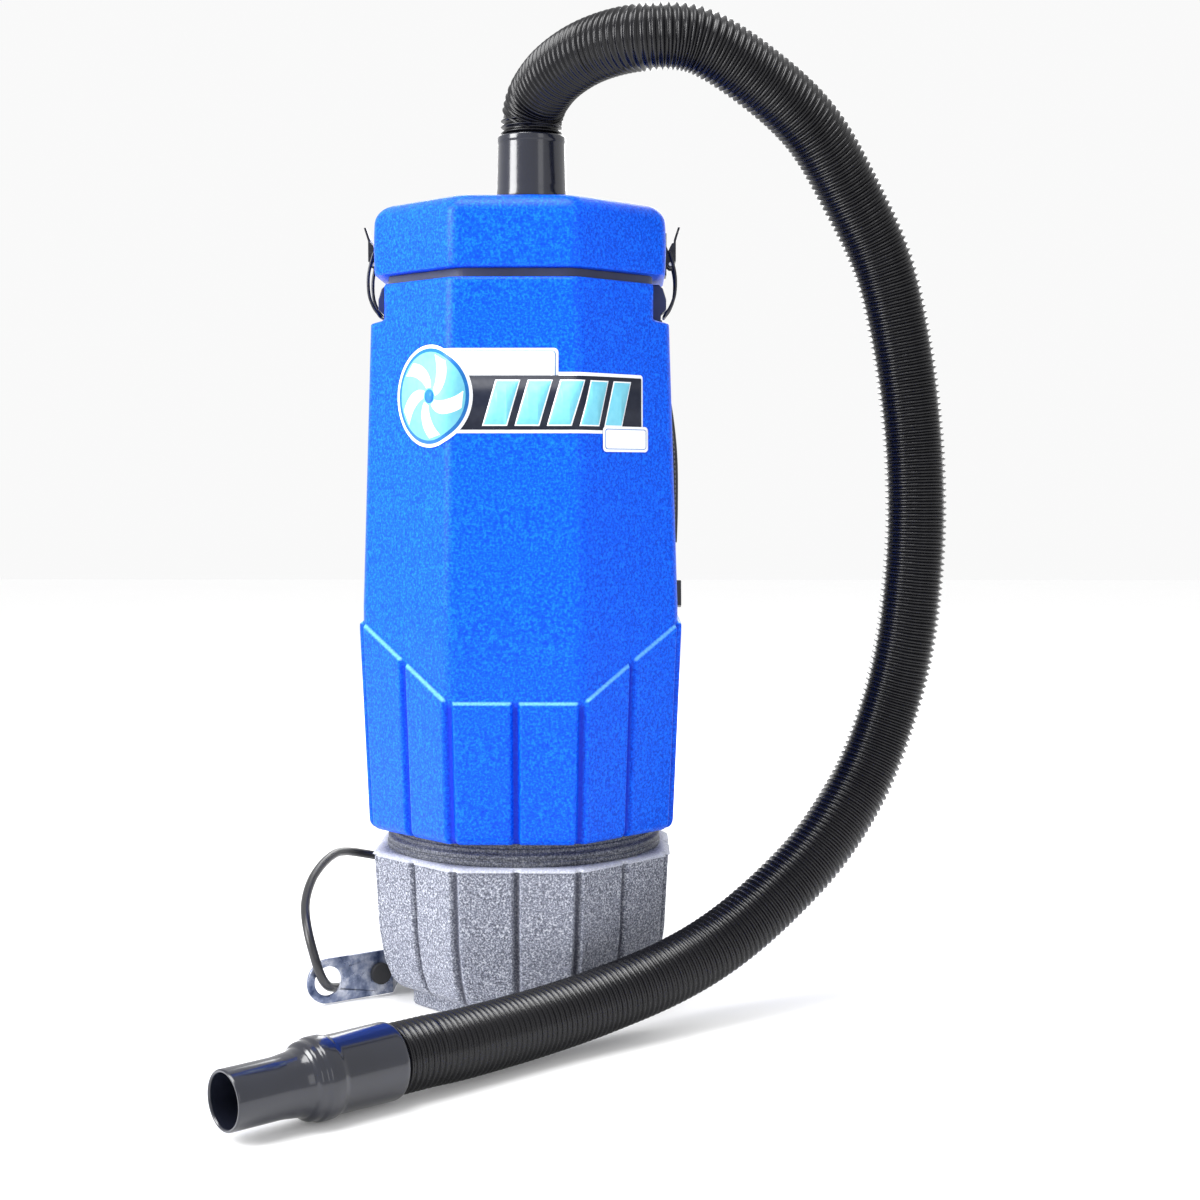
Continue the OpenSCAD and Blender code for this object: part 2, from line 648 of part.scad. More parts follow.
module switch_housing() color("black") at_switch() difference() {
    union() {
        translate([0, -16, -11]) cube([2, 32, 22]);
        translate([-17, -13.7, -8.7]) cube([18, 27.4, 17.4]);
    }
    translate([-14, -12.7, -7]) cube([20, 25.4, 14]);
    translate([-3, 0, 0]) cylinder(r = 1.5 + run_gap, h = 16.4, center = true);
}

module switch_rocker() color("red") at_switch() translate([-3, 0, 0]) rotate([0, 0, -rocker_tilt]) {
    translate([0, 0, -6.7]) linear_extrude(13.4)
        polygon([[-5, -4], [0.5, -11], [5.7, -11], [4, 0], [5.7, 11], [0.5, 11], [-5, 4]]);
    cylinder(r = 1.5, h = 16, center = true);
}

// ---------- pigtail ----------

module cord_gland() color("black") rotate([0, 0, 135]) translate([0, 0, gland_z]) rotate([0, 90, 0])
    rotate_extrude() polygon([[0, gland_face - 10], [gland_r, gland_face - 10], [gland_r, gland_face + 0.2],
        [gland_r + 2.5, gland_face + 0.2], [gland_r + 2.5, gland_face + 3], [gland_r, gland_face + 4],
        [cord_d / 2 + 0.9, gland_tip], [0, gland_tip]]);

module power_cord() color("black") sweep(cord_path(), circle_section(cord_d / 2, 8), [0.5, 0.2, 1]);

function gland_point(d) = [-(gland_tip + d) * sqrt(0.5), (gland_tip + d) * sqrt(0.5), gland_z];
function cord_path() = led(concat([gland_point(0), gland_point(7)], cord_route), 2);

plug_dir = unit(cord_route[len(cord_route) - 1] - cord_route[len(cord_route) - 2]);
module at_plug() translate(cord_route[len(cord_route) - 1])
    rotate([0, acos(plug_dir[2]), atan2(plug_dir[1], plug_dir[0])]) children();
module power_plug() color("black") at_plug() rotate_extrude()
    polygon([[0, 0], [5, 0], [7, 12], [plug_r, 20], [plug_r, plug_l - 1], [plug_r - 1, plug_l], [0, plug_l]]);
module plug_blades() color("goldenrod") at_plug() translate([0, 0, plug_l]) {
    for (s = [-1, 1]) translate([s * 6.35 - 0.75, -6, 0]) cube([1.5, 6.3, 17]);
    translate([0, 7, 0]) cylinder(r = 2.4, h = 20);
}

// ---------- strain plate ----------

module at_bar() translate([bar_start[0], bar_start[1], bar_z]) rotate([0, 0, bar_turn]) children();
module strain_plate() color("slategray") difference() {
    intersection() {
        translate([0, 0, bar_z - bar_h]) linear_extrude(2 * bar_h)
            polygon(band_points([bar_start + [0, 42], bar_start, bar_end], bar_t));
        at_bar() rotate([90, 0, 0]) linear_extrude(120, center = true) hull() {
            translate([-60, -bar_h / 2]) square([60, bar_h]);
            translate([bar_l, 0]) circle(r = bar_h / 2);
        }
    }
    at_bar() translate([bar_l, 0, 0]) rotate([90, 0, 0]) cylinder(r = 11, h = 20, center = true);
    for (y = plate_pad_y)
        translate([-tab_x - 10, y, bar_z]) rotate([0, 90, 0]) cylinder(r = screw_r + slip, h = 20);
}

module strain_plate_screws() color("silver") for (y = plate_pad_y) translate([-tab_x - bar_t, y, bar_z]) {
    rotate([0, 90, 0]) cylinder(r = screw_r, h = 11);
    translate([-3, 0, 0]) rotate([0, 90, 0]) cylinder(r = 5, h = 3);
}

module plate_bumper() color("black") at_bar() translate([11, bar_t / 2 + 4, 0])
    rotate([90, 0, 0]) cylinder(r = 8, h = 4);

// ---------- harness ----------

module rounded_slab(w, h, r) hull() for (x = [-1, 1], z = [-1, 1])
    translate([x * (w / 2 - r), z * (h / 2 - r)]) circle(r = r, $fn = 32);

module at_plate(y, low, high) translate([0, y, (low + high) / 2]) rotate([-90, 0, 0]) children();

module back_plate() color([0.1, 0.1, 0.11]) difference() {
    at_plate(plate_y, plate_low, plate_high) linear_extrude(plate_t)
        rounded_slab(plate_w, plate_high - plate_low, 24);
    boss_places() translate([0, 0, plate_y - 1]) cylinder(r = screw_r + slip, h = plate_t + 2);
    boss_places() translate([0, 0, plate_back - 3]) cylinder(r = 5.5, h = 5);
}

module harness_screws() color("silver") boss_places() {
    translate([0, 0, tank_half - 3]) cylinder(r = screw_r, h = plate_back - 1 - tank_half + 2);
    translate([0, 0, plate_back - 3]) cylinder(r = 5.2, h = 2.5);
}

module back_pad() color([0.15, 0.15, 0.16]) at_plate(pad_y, plate_low + 75, plate_high - 34)
    linear_extrude(pad_t) rounded_slab(plate_w - 40, plate_high - plate_low - 109, 22);

module shoulder_pad(route) color([0.12, 0.12, 0.13])
    sweep(led(route, 2), box_section(strap_t, strap_w), [1, 0, 0]);
module shoulder_pad_left() shoulder_pad(strap_left);
module shoulder_pad_right() shoulder_pad(strap_right);
module webbing(route) color([0.06, 0.06, 0.06])
    sweep(led(route, 2), box_section(webbing_t, webbing_w), [1, 0, 0]);
module webbing_left() webbing(webbing_route_left);
module webbing_right() webbing(webbing_route_right);

module adjuster(route, i) {
    above = route[i - 1];
    below = route[i + 1];
    translate(route[i]) rotate([-atan((above[1] - below[1]) / (above[2] - below[2])), 0, 0]) difference() {
        cube([adjuster_w, 8, 22], center = true);
        cube([webbing_w + 8, webbing_t + 1.6, 30], center = true);
    }
}
module strap_adjusters() color("black") {
    adjuster(webbing_route_left, 2);
    adjuster(webbing_route_right, 2);
}

module waist_pad_right() color([0.12, 0.12, 0.13]) translate([0, 0, waist_z[0]])
    linear_extrude(waist_z[1] - waist_z[0]) polygon(band_points(led(waist_route, 3), waist_t));
module waist_pad_left() color([0.12, 0.12, 0.13]) mirror([1, 0, 0]) waist_pad_right();

module belt_webbing() color([0.06, 0.06, 0.06]) both_sides() translate([0, 0, belt_z[0]])
    linear_extrude(belt_z[1] - belt_z[0]) polygon(band_points(led(belt_route, 3), webbing_t));

module buckle_male() color("black") {
    translate([10, buckle_y - 5, belt_z[0] - 4]) cube([20.7, 10, belt_z[1] - belt_z[0] + 8]);
    for (z = [belt_z[0], belt_z[1] - 10]) translate([-8, buckle_y - 3, z]) cube([19, 6, 10]);
}
module buckle_female() color("black") difference() {
    translate([-30.7, buckle_y - 7, belt_z[0] - 5]) cube([20.7, 14, belt_z[1] - belt_z[0] + 10]);
    translate([-26, buckle_y - 4, belt_z[0] - 1]) cube([30, 8, belt_z[1] - belt_z[0] + 2]);
}

module carry_handle() color([0.08, 0.08, 0.08]) translate([0, plate_y - 0.3, plate_high]) rotate([90, 0, 0])
    linear_extrude(4) polygon(band_points(smooth(handle_route, 3), 12));

tank();
tank_seal();
label();
keeper_left();
keeper_right();
lid();
inlet_collar();
inlet_cuff();
latch_brackets();
latch_pins();
lever_left();
lever_right();
bail_left();
bail_right();
hose();
tool_cuff();
filter_bag();
bag_collar();
cloth_filter();
dome_filter();
seal_ring();
base();
base_screws();
motor_gasket();
fan_case();
diffuser();
impeller();
motor_shaft();
armature();
commutator();
stator();
motor_frame();
bearings();
carbon_brushes();
brush_holders();
motor_mount();
exhaust_filter();
switch_housing();
switch_rocker();
cord_gland();
power_cord();
power_plug();
plug_blades();
strain_plate();
strain_plate_screws();
plate_bumper();
back_plate();
harness_screws();
back_pad();
shoulder_pad_left();
shoulder_pad_right();
webbing_left();
webbing_right();
strap_adjusters();
waist_pad_left();
waist_pad_right();
belt_webbing();
buckle_male();
buckle_female();
carry_handle();
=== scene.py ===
"""Backpack vacuum cleaner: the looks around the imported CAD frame. Metres, +Z up, the front faces -Y."""
import math

import bmesh
import bpy
import numpy as np
from mathutils import Matrix, Vector


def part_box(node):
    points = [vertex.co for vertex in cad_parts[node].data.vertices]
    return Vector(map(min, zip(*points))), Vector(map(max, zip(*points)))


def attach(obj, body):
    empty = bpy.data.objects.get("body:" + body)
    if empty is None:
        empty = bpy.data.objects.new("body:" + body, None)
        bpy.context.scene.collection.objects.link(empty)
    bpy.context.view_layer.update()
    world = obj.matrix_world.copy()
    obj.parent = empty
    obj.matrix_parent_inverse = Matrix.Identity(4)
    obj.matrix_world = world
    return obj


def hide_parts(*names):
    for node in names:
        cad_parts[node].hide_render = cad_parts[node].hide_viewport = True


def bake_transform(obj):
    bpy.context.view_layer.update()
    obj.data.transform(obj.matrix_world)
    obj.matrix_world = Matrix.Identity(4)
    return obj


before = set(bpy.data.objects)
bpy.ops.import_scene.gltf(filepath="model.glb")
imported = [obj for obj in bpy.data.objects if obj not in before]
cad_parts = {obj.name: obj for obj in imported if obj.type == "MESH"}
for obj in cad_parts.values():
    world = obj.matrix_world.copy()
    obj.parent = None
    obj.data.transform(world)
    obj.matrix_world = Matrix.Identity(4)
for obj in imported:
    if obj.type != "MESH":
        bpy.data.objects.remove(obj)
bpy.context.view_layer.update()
MM = 0.001


# ---------- camera, floor and light ----------

def look_at(obj, target):
    obj.rotation_euler = (Vector(target) - obj.location).to_track_quat("-Z", "Y").to_euler()


def make_camera():
    data = bpy.data.cameras.new("camera")
    data.lens, data.sensor_width = 56.64, 36
    camera = bpy.data.objects.new("camera", data)
    camera.location = (0.075, -1.428, 0.393)
    look_at(camera, (0.058, 0, 0.302))
    bpy.context.collection.objects.link(camera)
    bpy.context.scene.camera = camera


def area_light(name, location, target, size, power, colour=(1, 1, 1)):
    data = bpy.data.lights.new(name, "AREA")
    data.shape, data.size, data.size_y = "RECTANGLE", size[0], size[1]
    data.energy, data.color = power, colour
    light = bpy.data.objects.new(name, data)
    light.location = location
    look_at(light, target)
    bpy.context.collection.objects.link(light)


make_camera()
bpy.context.scene.view_settings.view_transform = "Standard"
area_light("key", (-1.7, -0.9, 1.2), (0, 0, 0.3), (0.9, 1.3), 60)
area_light("fill", (1.3, -2.0, 0.9), (0, 0, 0.3), (0.7, 1.2), 4)
area_light("top", (-0.2, -0.4, 2.0), (0, 0, 0.3), (0.9, 0.9), 26)
area_light("back", (0.3, 2.2, 1.3), (0, 0, 0.3), (1.6, 1.2), 26)


# ---------- materials ----------

class Shader:
    """A Principled material and short ways to add nodes to it, in object coordinates."""

    def __init__(self, name, rough=0.5, **constants):
        self.material = bpy.data.materials.new(name)
        self.material.use_nodes = True
        self.tree = self.material.node_tree
        self.bsdf = self.tree.nodes["Principled BSDF"]
        self.bsdf.inputs["Roughness"].default_value = rough
        for key, value in constants.items():
            self.bsdf.inputs[key.replace("_", " ")].default_value = value
        self.place = self.node("ShaderNodeTexCoord").outputs["Object"]

    def node(self, kind, **settings):
        made = self.tree.nodes.new(kind)
        for key, value in settings.items():
            setattr(made, key, value)
        return made

    def link(self, output, socket):
        self.tree.links.new(output, socket)

    def noise(self, scale, detail=2.0, rough=0.5, stretch=None):
        made = self.node("ShaderNodeTexNoise")
        made.inputs["Scale"].default_value = scale
        made.inputs["Detail"].default_value = detail
        made.inputs["Roughness"].default_value = rough
        place = self.place
        if stretch:
            mapping = self.node("ShaderNodeMapping")
            mapping.inputs["Scale"].default_value = stretch
            self.link(place, mapping.inputs["Vector"])
            place = mapping.outputs["Vector"]
        self.link(place, made.inputs["Vector"])
        return made.outputs["Fac"]

    def cells(self, scale):
        made = self.node("ShaderNodeTexVoronoi", feature="F1")
        made.inputs["Scale"].default_value = scale
        self.link(self.place, made.inputs["Vector"])
        return made.outputs["Distance"]

    def math(self, operation, a, b=0.0):
        made = self.node("ShaderNodeMath", operation=operation)
        for value, socket in ((a, made.inputs[0]), (b, made.inputs[1])):
            if isinstance(value, (int, float)):
                socket.default_value = value
            else:
                self.link(value, socket)
        return made.outputs[0]

    def ramp(self, fac, stops):
        made = self.node("ShaderNodeValToRGB")
        marks = made.color_ramp.elements
        while len(marks) < len(stops):
            marks.new(0.5)
        for mark, (place, colour) in zip(marks, stops):
            mark.position = place
            mark.color = (*colour, 1)
        self.link(fac, made.inputs["Fac"])
        return made.outputs["Color"]

    def mix(self, fac, a, b, blend="MIX"):
        made = self.node("ShaderNodeMix", data_type="RGBA", blend_type=blend)
        for value, socket in ((fac, made.inputs[0]), (a, made.inputs[6]), (b, made.inputs[7])):
            if isinstance(value, (int, float)):
                socket.default_value = value
            elif isinstance(value, tuple):
                socket.default_value = (*value, 1)
            else:
                self.link(value, socket)
        return made.outputs[2]

    def colour(self, output):
        self.link(output, self.bsdf.inputs["Base Color"])

    def roughness(self, output):
        self.link(output, self.bsdf.inputs["Roughness"])

    def bump(self, height, strength, depth_mm):
        made = self.node("ShaderNodeBump")
        made.inputs["Strength"].default_value = strength
        made.inputs["Distance"].default_value = depth_mm * MM
        self.link(height, made.inputs["Height"])
        self.link(made.outputs["Normal"], self.bsdf.inputs["Normal"])

    def painted_light_mask(self, sign):
        """How much the mesh's own painted light value is above (1, a painted highlight) or below (-1, painted shade)
        nothing.
        """
        value = self.node("ShaderNodeAttribute", attribute_name="painted_light").outputs["Fac"]
        return self.math("MAXIMUM", self.math("MULTIPLY", value, float(sign)), 0.0)

    def axis(self, which):
        made = self.node("ShaderNodeSeparateXYZ")
        self.link(self.place, made.inputs["Vector"])
        return made.outputs[which]


def plastic(name, dark, light, rough, scale=420, grain=0.12, **constants):
    """Moulded plastic: a fine orange-peel grain, faint cloudy colour and uneven gloss."""
    s = Shader(name, rough, **constants)
    s.colour(s.mix(s.noise(26, 3), dark, light))
    fine = s.noise(scale, 3, 0.6)
    s.roughness(s.math("ADD", s.math("MULTIPLY", fine, 0.2), rough - 0.1))
    s.bump(fine, grain, 0.4)
    return s.material


def blue_shell():
    """Blue rotomoulded shell with a granular skin, with a painted highlight on its crests and painted shade in its
    grooves.
    """
    s = Shader("blue_shell", 0.36, Specular_IOR_Level=0.14)
    grain = s.noise(560, 4, 0.7)
    cloud = s.noise(9, 2)
    body = s.ramp(grain, [(0.36, (0.0, 0.034, 0.44)), (0.50, (0.0, 0.078, 0.70)), (0.66, (0.006, 0.19, 0.98))])
    body = s.mix(s.math("MULTIPLY", cloud, 0.3), body, (0.0, 0.075, 0.78))
    # Painted highlight: pale blue mixed in where the painted light value is above nothing, on the panel crests.
    body = s.mix(s.math("MULTIPLY", s.painted_light_mask(1), s.math("ADD", grain, 0.1)), body, (0.20, 0.62, 0.95))
    # Painted shade: deep blue mixed in where the painted light value is below nothing, in the grooves.
    s.colour(s.mix(s.math("MULTIPLY", s.painted_light_mask(-1), 0.85), body, (0.0, 0.012, 0.40)))
    s.roughness(s.math("ADD", s.math("MULTIPLY", grain, 0.28), 0.2))
    s.bump(grain, 0.34, 0.7)
    return s.material


def grey_speckle(name, shade):
    """Granite-look moulding: grey with blue-grey, black and white flecks about a millimetre across."""
    s = Shader(name, 0.55, Specular_IOR_Level=0.3)
    flecks = s.noise(760, 4, 0.75)
    body = s.ramp(flecks, [(0.38, (0.006, 0.007, 0.014)), (0.46, (0.085, 0.095, 0.135)), (0.53, (0.20, 0.215, 0.27)),
                           (0.63, (0.62, 0.64, 0.70))])
    body = s.mix(s.math("MULTIPLY", s.noise(14, 2), 0.4), body, (0.27, 0.28, 0.335))
    # Painted highlight on the panel crests and the base's top edge, then painted shade in the grooves.
    body = s.mix(s.math("MULTIPLY", s.painted_light_mask(1), 0.55), body, (0.72, 0.74, 0.80))
    body = s.mix(s.math("MULTIPLY", s.painted_light_mask(-1), 0.8), body, (0.012, 0.013, 0.028))
    # A shade below 1 darkens the whole material: painted shade, used for the neck under the tank.
    s.colour(s.mix(1.0, body, (shade, shade, shade), "MULTIPLY"))
    s.bump(flecks, 0.3, 0.6)
    return s.material


def mottled_metal():
    """Dark plated steel with a cloudy blue-grey finish."""
    s = Shader("plate_metal", 0.3, Metallic=0.75)
    cloud = s.noise(60, 4, 0.6)
    s.colour(s.ramp(cloud, [(0.32, (0.03, 0.045, 0.10)), (0.48, (0.16, 0.19, 0.28)), (0.66, (0.55, 0.57, 0.64))]))
    s.roughness(s.ramp(s.noise(140, 3), [(0.3, (0.2, 0.2, 0.2)), (0.7, (0.5, 0.5, 0.5))]))
    s.bump(s.noise(300, 3), 0.1, 0.3)
    return s.material


def brushed(name, dark, light, rough=0.28, stretch=(60, 60, 900)):
    """Bare metal with fine drawn lines."""
    s = Shader(name, rough, Metallic=1.0)
    lines = s.noise(1, 3, 0.6, stretch)
    s.colour(s.mix(lines, dark, light))
    s.roughness(s.math("ADD", s.math("MULTIPLY", lines, 0.2), rough - 0.1))
    s.bump(lines, 0.12, 0.2)
    return s.material


def woven(name, dark, light, scale=1500, rough=0.85, sheen=0.35):
    """Plain-weave fabric: crossed threads, lint and a little sheen."""
    s = Shader(name, rough, Sheen_Weight=sheen, Sheen_Roughness=0.5)
    threads = []
    for axes in ((0, 2), (1, 2)):
        wave_a = s.math("SINE", s.math("MULTIPLY", s.axis(axes[0]), scale * 2.2))
        wave_b = s.math("SINE", s.math("MULTIPLY", s.axis(axes[1]), scale * 2.2))
        threads.append(s.math("MULTIPLY", wave_a, wave_b))
    weave = s.math("ADD", s.math("MULTIPLY", s.math("ADD", threads[0], threads[1]), 0.25), 0.5)
    lint = s.noise(240, 4, 0.7)
    s.colour(s.mix(s.math("MULTIPLY", s.math("ADD", weave, lint), 0.5), dark, light))
    s.bump(s.math("ADD", weave, s.math("MULTIPLY", lint, 0.4)), 0.5, 0.5)
    return s.material


def foam(name, dark, light):
    """Open-cell foam."""
    s = Shader(name, 0.95)
    cells = s.cells(700)
    s.colour(s.ramp(cells, [(0.1, dark), (0.6, light)]))
    s.bump(cells, 0.6, 0.8)
    return s.material


def laminations(name, dark, light):
    """Stacked sheet steel, half a millimetre a sheet."""
    s = Shader(name, 0.45, Metallic=0.8)
    sheets = s.math("SINE", s.math("MULTIPLY", s.axis(2), 2 * math.pi / (0.6 * MM)))
    s.colour(s.mix(s.math("ADD", s.math("MULTIPLY", sheets, 0.35), s.noise(90, 2)), dark, light))
    s.bump(sheets, 0.4, 0.2)
    return s.material


BLUE = blue_shell()
GREY = grey_speckle("grey_speckle", 1.0)
# The grey darkened to 0.42: painted shade standing in for the tank's shadow on the neck.
GREY_SHADED = grey_speckle("grey_neck_painted_shade", 0.42)
PLATE = mottled_metal()
HOSE_BLACK = plastic("hose_black", (0.001, 0.001, 0.002), (0.004, 0.004, 0.006), 0.26, 900, 0.06,
                     Specular_IOR_Level=0.34)
GLOSS = plastic("black_gloss", (0.004, 0.005, 0.010), (0.012, 0.014, 0.024), 0.2, 600, 0.04, Coat_Weight=0.3)
BLACK = plastic("black_plastic", (0.010, 0.010, 0.012), (0.032, 0.032, 0.036), 0.42)
RUBBER = plastic("rubber_black", (0.008, 0.008, 0.009), (0.026, 0.026, 0.028), 0.55, 700)
CORD = plastic("cord_black", (0.006, 0.006, 0.007), (0.02, 0.02, 0.023), 0.34, 500)
SEAL = plastic("seal_grey", (0.03, 0.035, 0.06), (0.10, 0.11, 0.15), 0.6)
NAVY = plastic("keeper_navy", (0.004, 0.010, 0.055), (0.012, 0.03, 0.13), 0.33)
RED = plastic("switch_red", (0.45, 0.01, 0.008), (0.62, 0.03, 0.02), 0.3)
DARK_STEEL = brushed("dark_steel", (0.012, 0.013, 0.018), (0.07, 0.072, 0.085), 0.35)
STEEL = brushed("steel", (0.52, 0.53, 0.55), (0.78, 0.79, 0.80))
ALUMINIUM = brushed("aluminium_case", (0.55, 0.56, 0.57), (0.82, 0.82, 0.83), 0.35)
BRASS = brushed("brass_pins", (0.62, 0.44, 0.16), (0.85, 0.66, 0.30), 0.25)
COPPER = brushed("copper", (0.45, 0.16, 0.06), (0.80, 0.38, 0.18), 0.32, (700, 700, 60))
IRON = laminations("iron", (0.08, 0.08, 0.09), (0.30, 0.30, 0.32))
CARBON = plastic("carbon", (0.012, 0.012, 0.013), (0.05, 0.05, 0.052), 0.7)
PAPER = woven("bag_paper", (0.50, 0.40, 0.26), (0.72, 0.62, 0.44), 900, 0.9, 0.05)
CARD = plastic("collar_card", (0.42, 0.31, 0.18), (0.60, 0.47, 0.30), 0.85, 260, 0.3)
CLOTH = woven("cloth", (0.62, 0.62, 0.60), (0.85, 0.85, 0.83), 1300)
FOAM = foam("foam", (0.02, 0.02, 0.022), (0.10, 0.10, 0.105))
PAD = woven("pad_fabric", (0.006, 0.006, 0.008), (0.030, 0.030, 0.035), 1100, 0.85, 0.15)
WEB = woven("webbing_fabric", (0.005, 0.005, 0.006), (0.024, 0.024, 0.027), 1700, 0.7, 0.12)
THREAD = woven("thread_grey", (0.10, 0.10, 0.11), (0.22, 0.22, 0.24), 3000, 0.8, 0.2)


# ---------- meshes ----------

def add_piece(name, verts, faces, material, body="root", replaces=(), sharp=None):
    mesh = bpy.data.meshes.new(name)
    mesh.from_pydata([tuple(map(float, v)) for v in verts], [], [tuple(map(int, f)) for f in faces])
    mesh.materials.append(material)
    mesh.shade_smooth()
    if sharp:
        mesh.set_sharp_from_angle(angle=math.radians(sharp))
    piece = bpy.data.objects.new(name, mesh)
    bpy.context.collection.objects.link(piece)
    if body:
        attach(piece, body)
    if replaces:
        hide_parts(*replaces)
    return piece


def loft_faces(rows, cols, ring=True, loop=False, flip=False):
    """Quads over a grid of rows by columns: ring joins the last column to the first, and loop the rows."""
    faces = []
    for i in range(rows if loop else rows - 1):
        for k in range(cols if ring else cols - 1):
            a, b = i * cols + k, i * cols + (k + 1) % cols
            c, d = ((i + 1) % rows) * cols + (k + 1) % cols, ((i + 1) % rows) * cols + k
            faces.append((a, d, c, b) if flip else (a, b, c, d))
    return faces


def capped(rows, cols):
    """Quads over a closed tube of rows of points, with a face at each end."""
    last = (rows - 1) * cols
    return loft_faces(rows, cols) + [tuple(range(cols))[::-1], tuple(range(last, last + cols))]


def lathe(profile, turns=72):
    """Rings of a closed [radius, height] profile turned about Z, as points and faces."""
    verts = [(r * math.cos(2 * math.pi * k / turns), r * math.sin(2 * math.pi * k / turns), z)
             for r, z in profile for k in range(turns)]
    return np.array(verts), loft_faces(len(profile), turns, loop=True)


def rounded(profile, radius=1.0, steps=4):
    """A closed [radius, height] profile with its corners rounded."""
    out = []
    n = len(profile)
    for i in range(n):
        p, a, b = (np.array(profile[j % n], float) for j in (i, i - 1, i + 1))
        to_a, to_b = a - p, b - p
        la, lb = np.linalg.norm(to_a), np.linalg.norm(to_b)
        r = min(radius, la * 0.45, lb * 0.45)
        start, end = p + to_a / la * r, p + to_b / lb * r
        for t in np.linspace(0, 1, steps + 1):
            out.append(tuple((1 - t) ** 2 * start + 2 * t * (1 - t) * p + t ** 2 * end))
    return out


def unit(v):
    return v / np.linalg.norm(v)


def catmull(points, steps):
    """Points of a Catmull-Rom curve through a route, steps to a span."""
    p = np.array(points, float)
    out = []
    for i in range(len(p) - 1):
        a, b, c, d = p[max(i - 1, 0)], p[i], p[i + 1], p[min(i + 2, len(p) - 1)]
        for t in np.arange(steps) / steps:
            out.append(0.5 * (2 * b + (c - a) * t + (2 * a - 5 * b + 4 * c - d) * t ** 2
                              + (3 * b - a - 3 * c + d) * t ** 3))
    return np.array(out + [p[-1]])


def led(points, steps):
    """A smooth route whose first and last spans stay straight."""
    inner = catmull(points[1:-1], steps)
    return np.vstack([points[0], inner, points[-1]])


def resample(path, step):
    """Points at even distances along a path, and those distances."""
    lengths = np.concatenate([[0], np.cumsum(np.linalg.norm(np.diff(path, axis=0), axis=1))])
    count = max(2, int(round(lengths[-1] / step)) + 1)
    at = np.linspace(0, lengths[-1], count)
    return np.column_stack([np.interp(at, lengths, path[:, i]) for i in range(3)]), at


def frames(path, side0):
    """Tangent, side and rise at each point of a path, turned as little as possible."""
    tangents = np.gradient(path, axis=0)
    tangents /= np.linalg.norm(tangents, axis=1)[:, None]
    side = unit(np.array(side0, float) - tangents[0] * np.dot(side0, tangents[0]))
    out = []
    for t in tangents:
        side = unit(side - t * np.dot(side, t))
        out.append((t, side, np.cross(t, side)))
    return out


# ---------- cords ----------

HOSE_ROUTE = [[7, 0, 648.2], [7, 0, 661], [13, -12, 676], [29, -38, 689], [55, -66, 698], [89, -88, 701],
              [128, -86, 699], [172, -70, 676], [211, -50, 645], [242, -30, 600], [268, -15, 550], [284, -5, 490],
              [293, 0, 430], [296, 0, 378], [295, 0, 330], [289, 0, 272], [277, 0, 219], [256, -10, 167],
              [224, -30, 121], [187, -50, 86], [148, -73, 59], [108, -100, 42], [60, -135, 31], [17, -171, 26],
              [-28, -214, 25], [-50, -234.8, 26], [-72, -254.6, 26]]
HOSE_RADIUS = 23 * MM
RIB_PITCH = 4.5 * MM
RIB_DEPTH = 2.3 * MM
RIB_RINGS = 8


def round_skin(path, radii, side0, turns):
    """Rings of points around a path, with one radius or a radius for each of its points."""
    angles = 2 * math.pi * np.arange(turns) / turns
    rings = zip(path, np.broadcast_to(radii, len(path)), frames(path, side0))
    return [centre + r * (math.cos(a) * side + math.sin(a) * rise)
            for centre, r, (_, side, rise) in rings for a in angles]


def align(verts, origin, along, up=(0, 0, 1)):
    """Turns points drawn along +Z so that they lie along a direction from origin."""
    along = unit(np.array(along, float))
    side = unit(np.cross(np.array(up, float), along))
    rise = np.cross(along, side)
    return [np.array(origin) + x * side + y * rise + z * along for x, y, z in verts]


def make_hose():
    """Corrugated hose: rounded ribs on a swept tube."""
    path = led(np.array(HOSE_ROUTE) * MM, 24)
    total = np.linalg.norm(np.diff(path, axis=0), axis=1).sum()
    ribs = round(total / RIB_PITCH)
    path, at = resample(path, total / (ribs * RIB_RINGS))
    turns = 40
    dips = (0.5 - 0.5 * np.cos(2 * math.pi * at / total * ribs)) ** 1.5
    verts = round_skin(path, HOSE_RADIUS - RIB_DEPTH * (1 - dips), (0, 1, 0), turns)
    hose = add_piece("hose_corrugated", verts, capped(len(path), turns), HOSE_BLACK, None, ["hose"])
    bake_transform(hose)
    return hose, path, total


def make_tool_cuff(end, turn):
    """Two-step tool cuff with an open nozzle, on the hose's free end."""
    outer = [(16.5, 0.3), (23.4, 0.3), (24.6, 2), (25, 4), (24.6, 46), (25.2, 48), (26, 50), (26.3, 54.5), (26, 59),
             (24.7, 61), (24.4, 65), (23.4, 66.6), (21.4, 68), (20.2, 73), (19.2, 82), (19, 86), (19, 119),
             (18.6, 120), (17.2, 120), (16.6, 119)]
    verts, faces = lathe([(r * MM, z * MM) for r, z in rounded(outer, 0.8, 2)], 80)
    placed = align(verts, end, (math.cos(turn), math.sin(turn), 0))
    return add_piece("tool_cuff_moulded", placed, faces, GLOSS, "tool_cuff", ["tool_cuff"], 40)


hose, hose_path, hose_length = make_hose()
tool_cuff = make_tool_cuff(hose_path[-1], math.radians(222))

